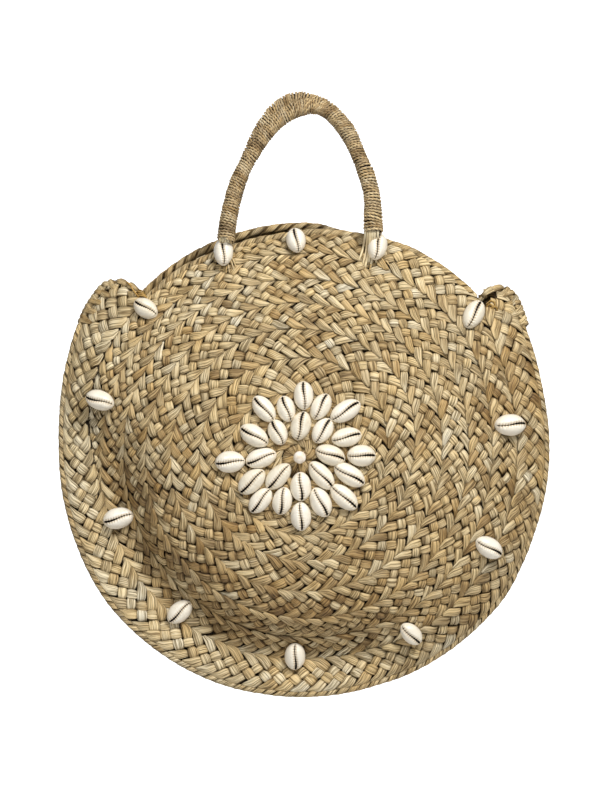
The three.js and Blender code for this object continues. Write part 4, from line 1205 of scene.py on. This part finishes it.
def pearl():
    """Drilled bead with the thread that holds it."""
    p, n = surface(-1.0, np.array([-4.2]), np.array([-5.1]), 5.0)
    p, n = p[0], n[0]
    R = 5.4
    c = p + n * (R + 2.2)
    ax = unit(np.array([0.94, 0.0, 0.34]))
    e1 = unit(n - (n @ ax) * ax)
    e2 = np.cross(ax, e1)
    b = Build()
    lat = np.linspace(0.13, math.pi - 0.13, 40)
    prof = [(-0.55 * R, 0.085 * R), (-0.93 * R, 0.095 * R)]
    prof += [(-R * math.cos(a), R * math.sin(a)) for a in lat]
    prof += [(0.93 * R, 0.095 * R), (0.55 * R, 0.085 * R)]
    m = 48
    an = np.arange(m) / m * 2 * math.pi
    rings = np.array([c + ax * h + (e1 * np.cos(an)[:, None] + e2 * np.sin(an)[:, None]) * r for h, r in prof])
    s = np.concatenate([[0], np.cumsum(np.hypot(*np.diff(np.array(prof), axis=0).T))])
    loft(b, rings[:, ::-1], s, np.cos(an), ident=0.5)
    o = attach(b.object("pearl", M_PEARL, bake_map=False), "bag")
    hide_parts("pearl_bead")
    th = Build()
    for sgn in (-1, 1):
        pts = [c + ax * sgn * R * 0.45, c + ax * sgn * R * 0.97, c + ax * sgn * R * 1.16 - n * 1.2,
               p + ax * sgn * R * 1.2 + n * 0.6, p + ax * sgn * R * 0.9 - n * 2.4]
        tube(th, resample(catmull(pts), 0.4)[0], 0.34, m=8, tone=0.8, ident=0.4, high=0.5)
    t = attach(th.object("pearl_thread", M_RAFFIA), "bag")
    return o, t


pearl()


# ---------------------------------------------------------------------------
# Raffia lashings at the four handle feet
# ---------------------------------------------------------------------------
def lashing(node, side, x0, foot_z, foot_y, seed, strands, tufts):
    """Raffia from inside the handle's foot down into the straw; strands: x at the foot, x and zc at the lower end."""
    b = Build()
    rs = np.random.default_rng(seed)
    for i, (xa, xb, zb) in enumerate(strands):
        f = (xa - x0) / 8.0
        top_z = foot_z - DISC_Z
        bulge = 7.0 - 2.6 * f * f
        zm = min(zb + 11.0, math.sqrt(max(189.0 ** 2 - xa ** 2, 1.0)))
        pts = [(xa, foot_y + side * 1.0, foot_z + 1.0 - HANG_Z), (xa, foot_y + side * bulge * 0.8, foot_z - 6.5 - HANG_Z),
               spot(xa * 0.65 + xb * 0.35, zm, 3.4, side), spot(xa * 0.3 + xb * 0.7, zb + 4.5, 2.4, side), spot(xb, zb, 1.6, side),
               spot(xb, zb - 2.6, -2.2, side)]
        P, q = resample(catmull(pts), 1.0)
        N = np.tile(np.array([0.25 * f, side, 0.15]), (len(P), 1))
        ribbon(b, P, N, (2.7 + rs.uniform(-0.5, 0.4)) * (1 - 0.2 * q / q[-1]), thick=0.6, crown=0.7, tone=0.95 + rs.normal(0, 0.12),
               ident=rs.random(), high=0.5 + 0 * q, roll=0.3 * wavy(q, seed + i))
    for xa, za, xb, zb in tufts:
        pts = [spot(xa, za, -1.5, side), spot(xa * 0.7 + xb * 0.3, za - 0.3 * (za - zb), 2.6, side), spot(xb, zb, 1.6, side)]
        P, q = resample(catmull(pts), 0.8)
        w = 1.7 * (1 - 0.6 * (q / q[-1]) ** 2)
        _, nn = surface(side, np.array([xa]), np.array([za]))
        ribbon(b, P, np.tile(nn[0], (len(P), 1)), w, thick=0.4, crown=0.35, tone=0.6 + rs.normal(0, 0.1), ident=rs.random(), high=0.4)
    o = b.object(node + "_raffia", M_RAFFIA)
    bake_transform(o)
    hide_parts(node)


lashing("front_left_lashing", -1.0, -67.2, 407.6, -38.5, 81,
        [(-73.0, -73.5, 166.0), (-70.6, -71.4, 163.0), (-68.2, -69.0, 162.0), (-66.0, -66.6, 163.0), (-63.8, -64.2, 165.0)],
        [(-63.0, 168.0, -59.0, 158.5), (-64.0, 166.0, -61.0, 156.0), (-66.0, 162.0, -65.0, 154.0), (-69.0, 162.0, -70.0, 154.5),
         (-72.0, 163.0, -73.5, 155.5), (-67.5, 161.0, -67.8, 153.5)])
lashing("front_right_lashing", -1.0, 59.3, 412.5, -38.5, 83,
        [(52.6, 47.6, 166.0), (54.6, 50.6, 162.6), (56.6, 52.6, 160.4), (58.6, 55.6, 163.4), (60.6, 57.4, 160.6), (63.2, 62.0, 164.0)],
        [(58.0, 163.0, 56.0, 156.0), (66.0, 163.0, 68.5, 157.0), (70.0, 165.0, 74.0, 160.0)])
for name, x0, sd in (("back_left_lashing", -69.3, 85), ("back_right_lashing", 61.4, 87)):
    lashing(name, 1.0, x0, 412.0, 37.5, sd,
            [(x0 + d, x0 + 1.15 * d, 165.0 + 2.0 * math.cos(d)) for d in (-6.6, -4.4, -2.2, 0.0, 2.2, 4.4, 6.6)],
            [(x0 - 4.0, 166.0, x0 - 6.0, 157.0), (x0 + 1.0, 165.0, x0 + 0.5, 155.0), (x0 + 5.0, 166.0, x0 + 7.5, 157.5)])


# ---------------------------------------------------------------------------
# Studio: pale floor that curves up behind, soft light, camera
# ---------------------------------------------------------------------------
def stage_piece(name, prof, glow):
    v, f = [], []
    for y, z in prof:
        v += [(-3.5, y, z - 0.83), (3.5, y, z - 0.83)]
    for i in range(len(prof) - 1):
        f.append((2 * i, 2 * i + 1, 2 * i + 3, 2 * i + 2))
    me = bpy.data.meshes.new(name)
    me.from_pydata(v, [], f)
    me.polygons.foreach_set("use_smooth", [True] * len(f))
    m = Nodes(name)
    m.bsdf.inputs["Base Color"].default_value = (0.93, 0.93, 0.93, 1)
    m.bsdf.inputs["Roughness"].default_value = 0.9
    m.bsdf.inputs["Specular IOR Level"].default_value = 0.1
    m.bsdf.inputs["Emission Color"].default_value = (1, 1, 1, 1)
    m.bsdf.inputs["Emission Strength"].default_value = glow
    me.materials.append(m.mat)
    o = bpy.data.objects.new(name, me)
    bpy.context.scene.collection.objects.link(o)


def soft_light(name, loc, aim, size, power, colour=(1, 1, 1)):
    d = bpy.data.lights.new(name, "AREA")
    d.shape = "RECTANGLE"
    d.size, d.size_y = size
    d.energy = power
    d.color = colour
    o = bpy.data.objects.new(name, d)
    o.location = loc
    o.rotation_euler = (Vector(aim) - Vector(loc)).to_track_quat("-Z", "Y").to_euler()
    bpy.context.scene.collection.objects.link(o)


stage_piece("studio_floor", [(-3.2, 0.0), (1.3, 0.0)], 0.0)
stage_piece("studio_backdrop", [(1.3, 0.0), (3.9, 0.0)] + [(3.9 + 0.9 * math.sin(a), 0.9 - 0.9 * math.cos(a)) for a in
                                                          np.linspace(0.05, math.pi / 2, 24)] + [(4.8, 3.6)], 1.0)
soft_light("key_upper", (0.7, -1.4, 1.1), (0.0, 0.0, -0.28), (0.6, 0.5), 42.0, (1.0, 0.985, 0.96))
soft_light("fill_left", (-0.7, -1.4, 1.1), (0.0, 0.0, -0.28), (0.6, 0.5), 13.5, (0.98, 0.99, 1.0))

scene = bpy.context.scene
world = bpy.data.worlds.new("studio_world")
world.use_nodes = True
world.node_tree.nodes["Background"].inputs[0].default_value = (1.0, 1.0, 1.0, 1.0)
world.node_tree.nodes["Background"].inputs[1].default_value = 0.05
scene.world = world
scene.view_settings.view_transform = "Standard"
scene.view_settings.look = "None"

cam = bpy.data.cameras.new("camera")
cam.lens = 122.87
cam.sensor_width = 36.0
cam.clip_end = 50.0
cam_obj = bpy.data.objects.new("camera", cam)
cam_obj.location = (-0.00396, -2.4, -0.24794)
cam_obj.rotation_euler = (math.pi / 2, 0.0, 0.0)
scene.collection.objects.link(cam_obj)
scene.camera = cam_obj
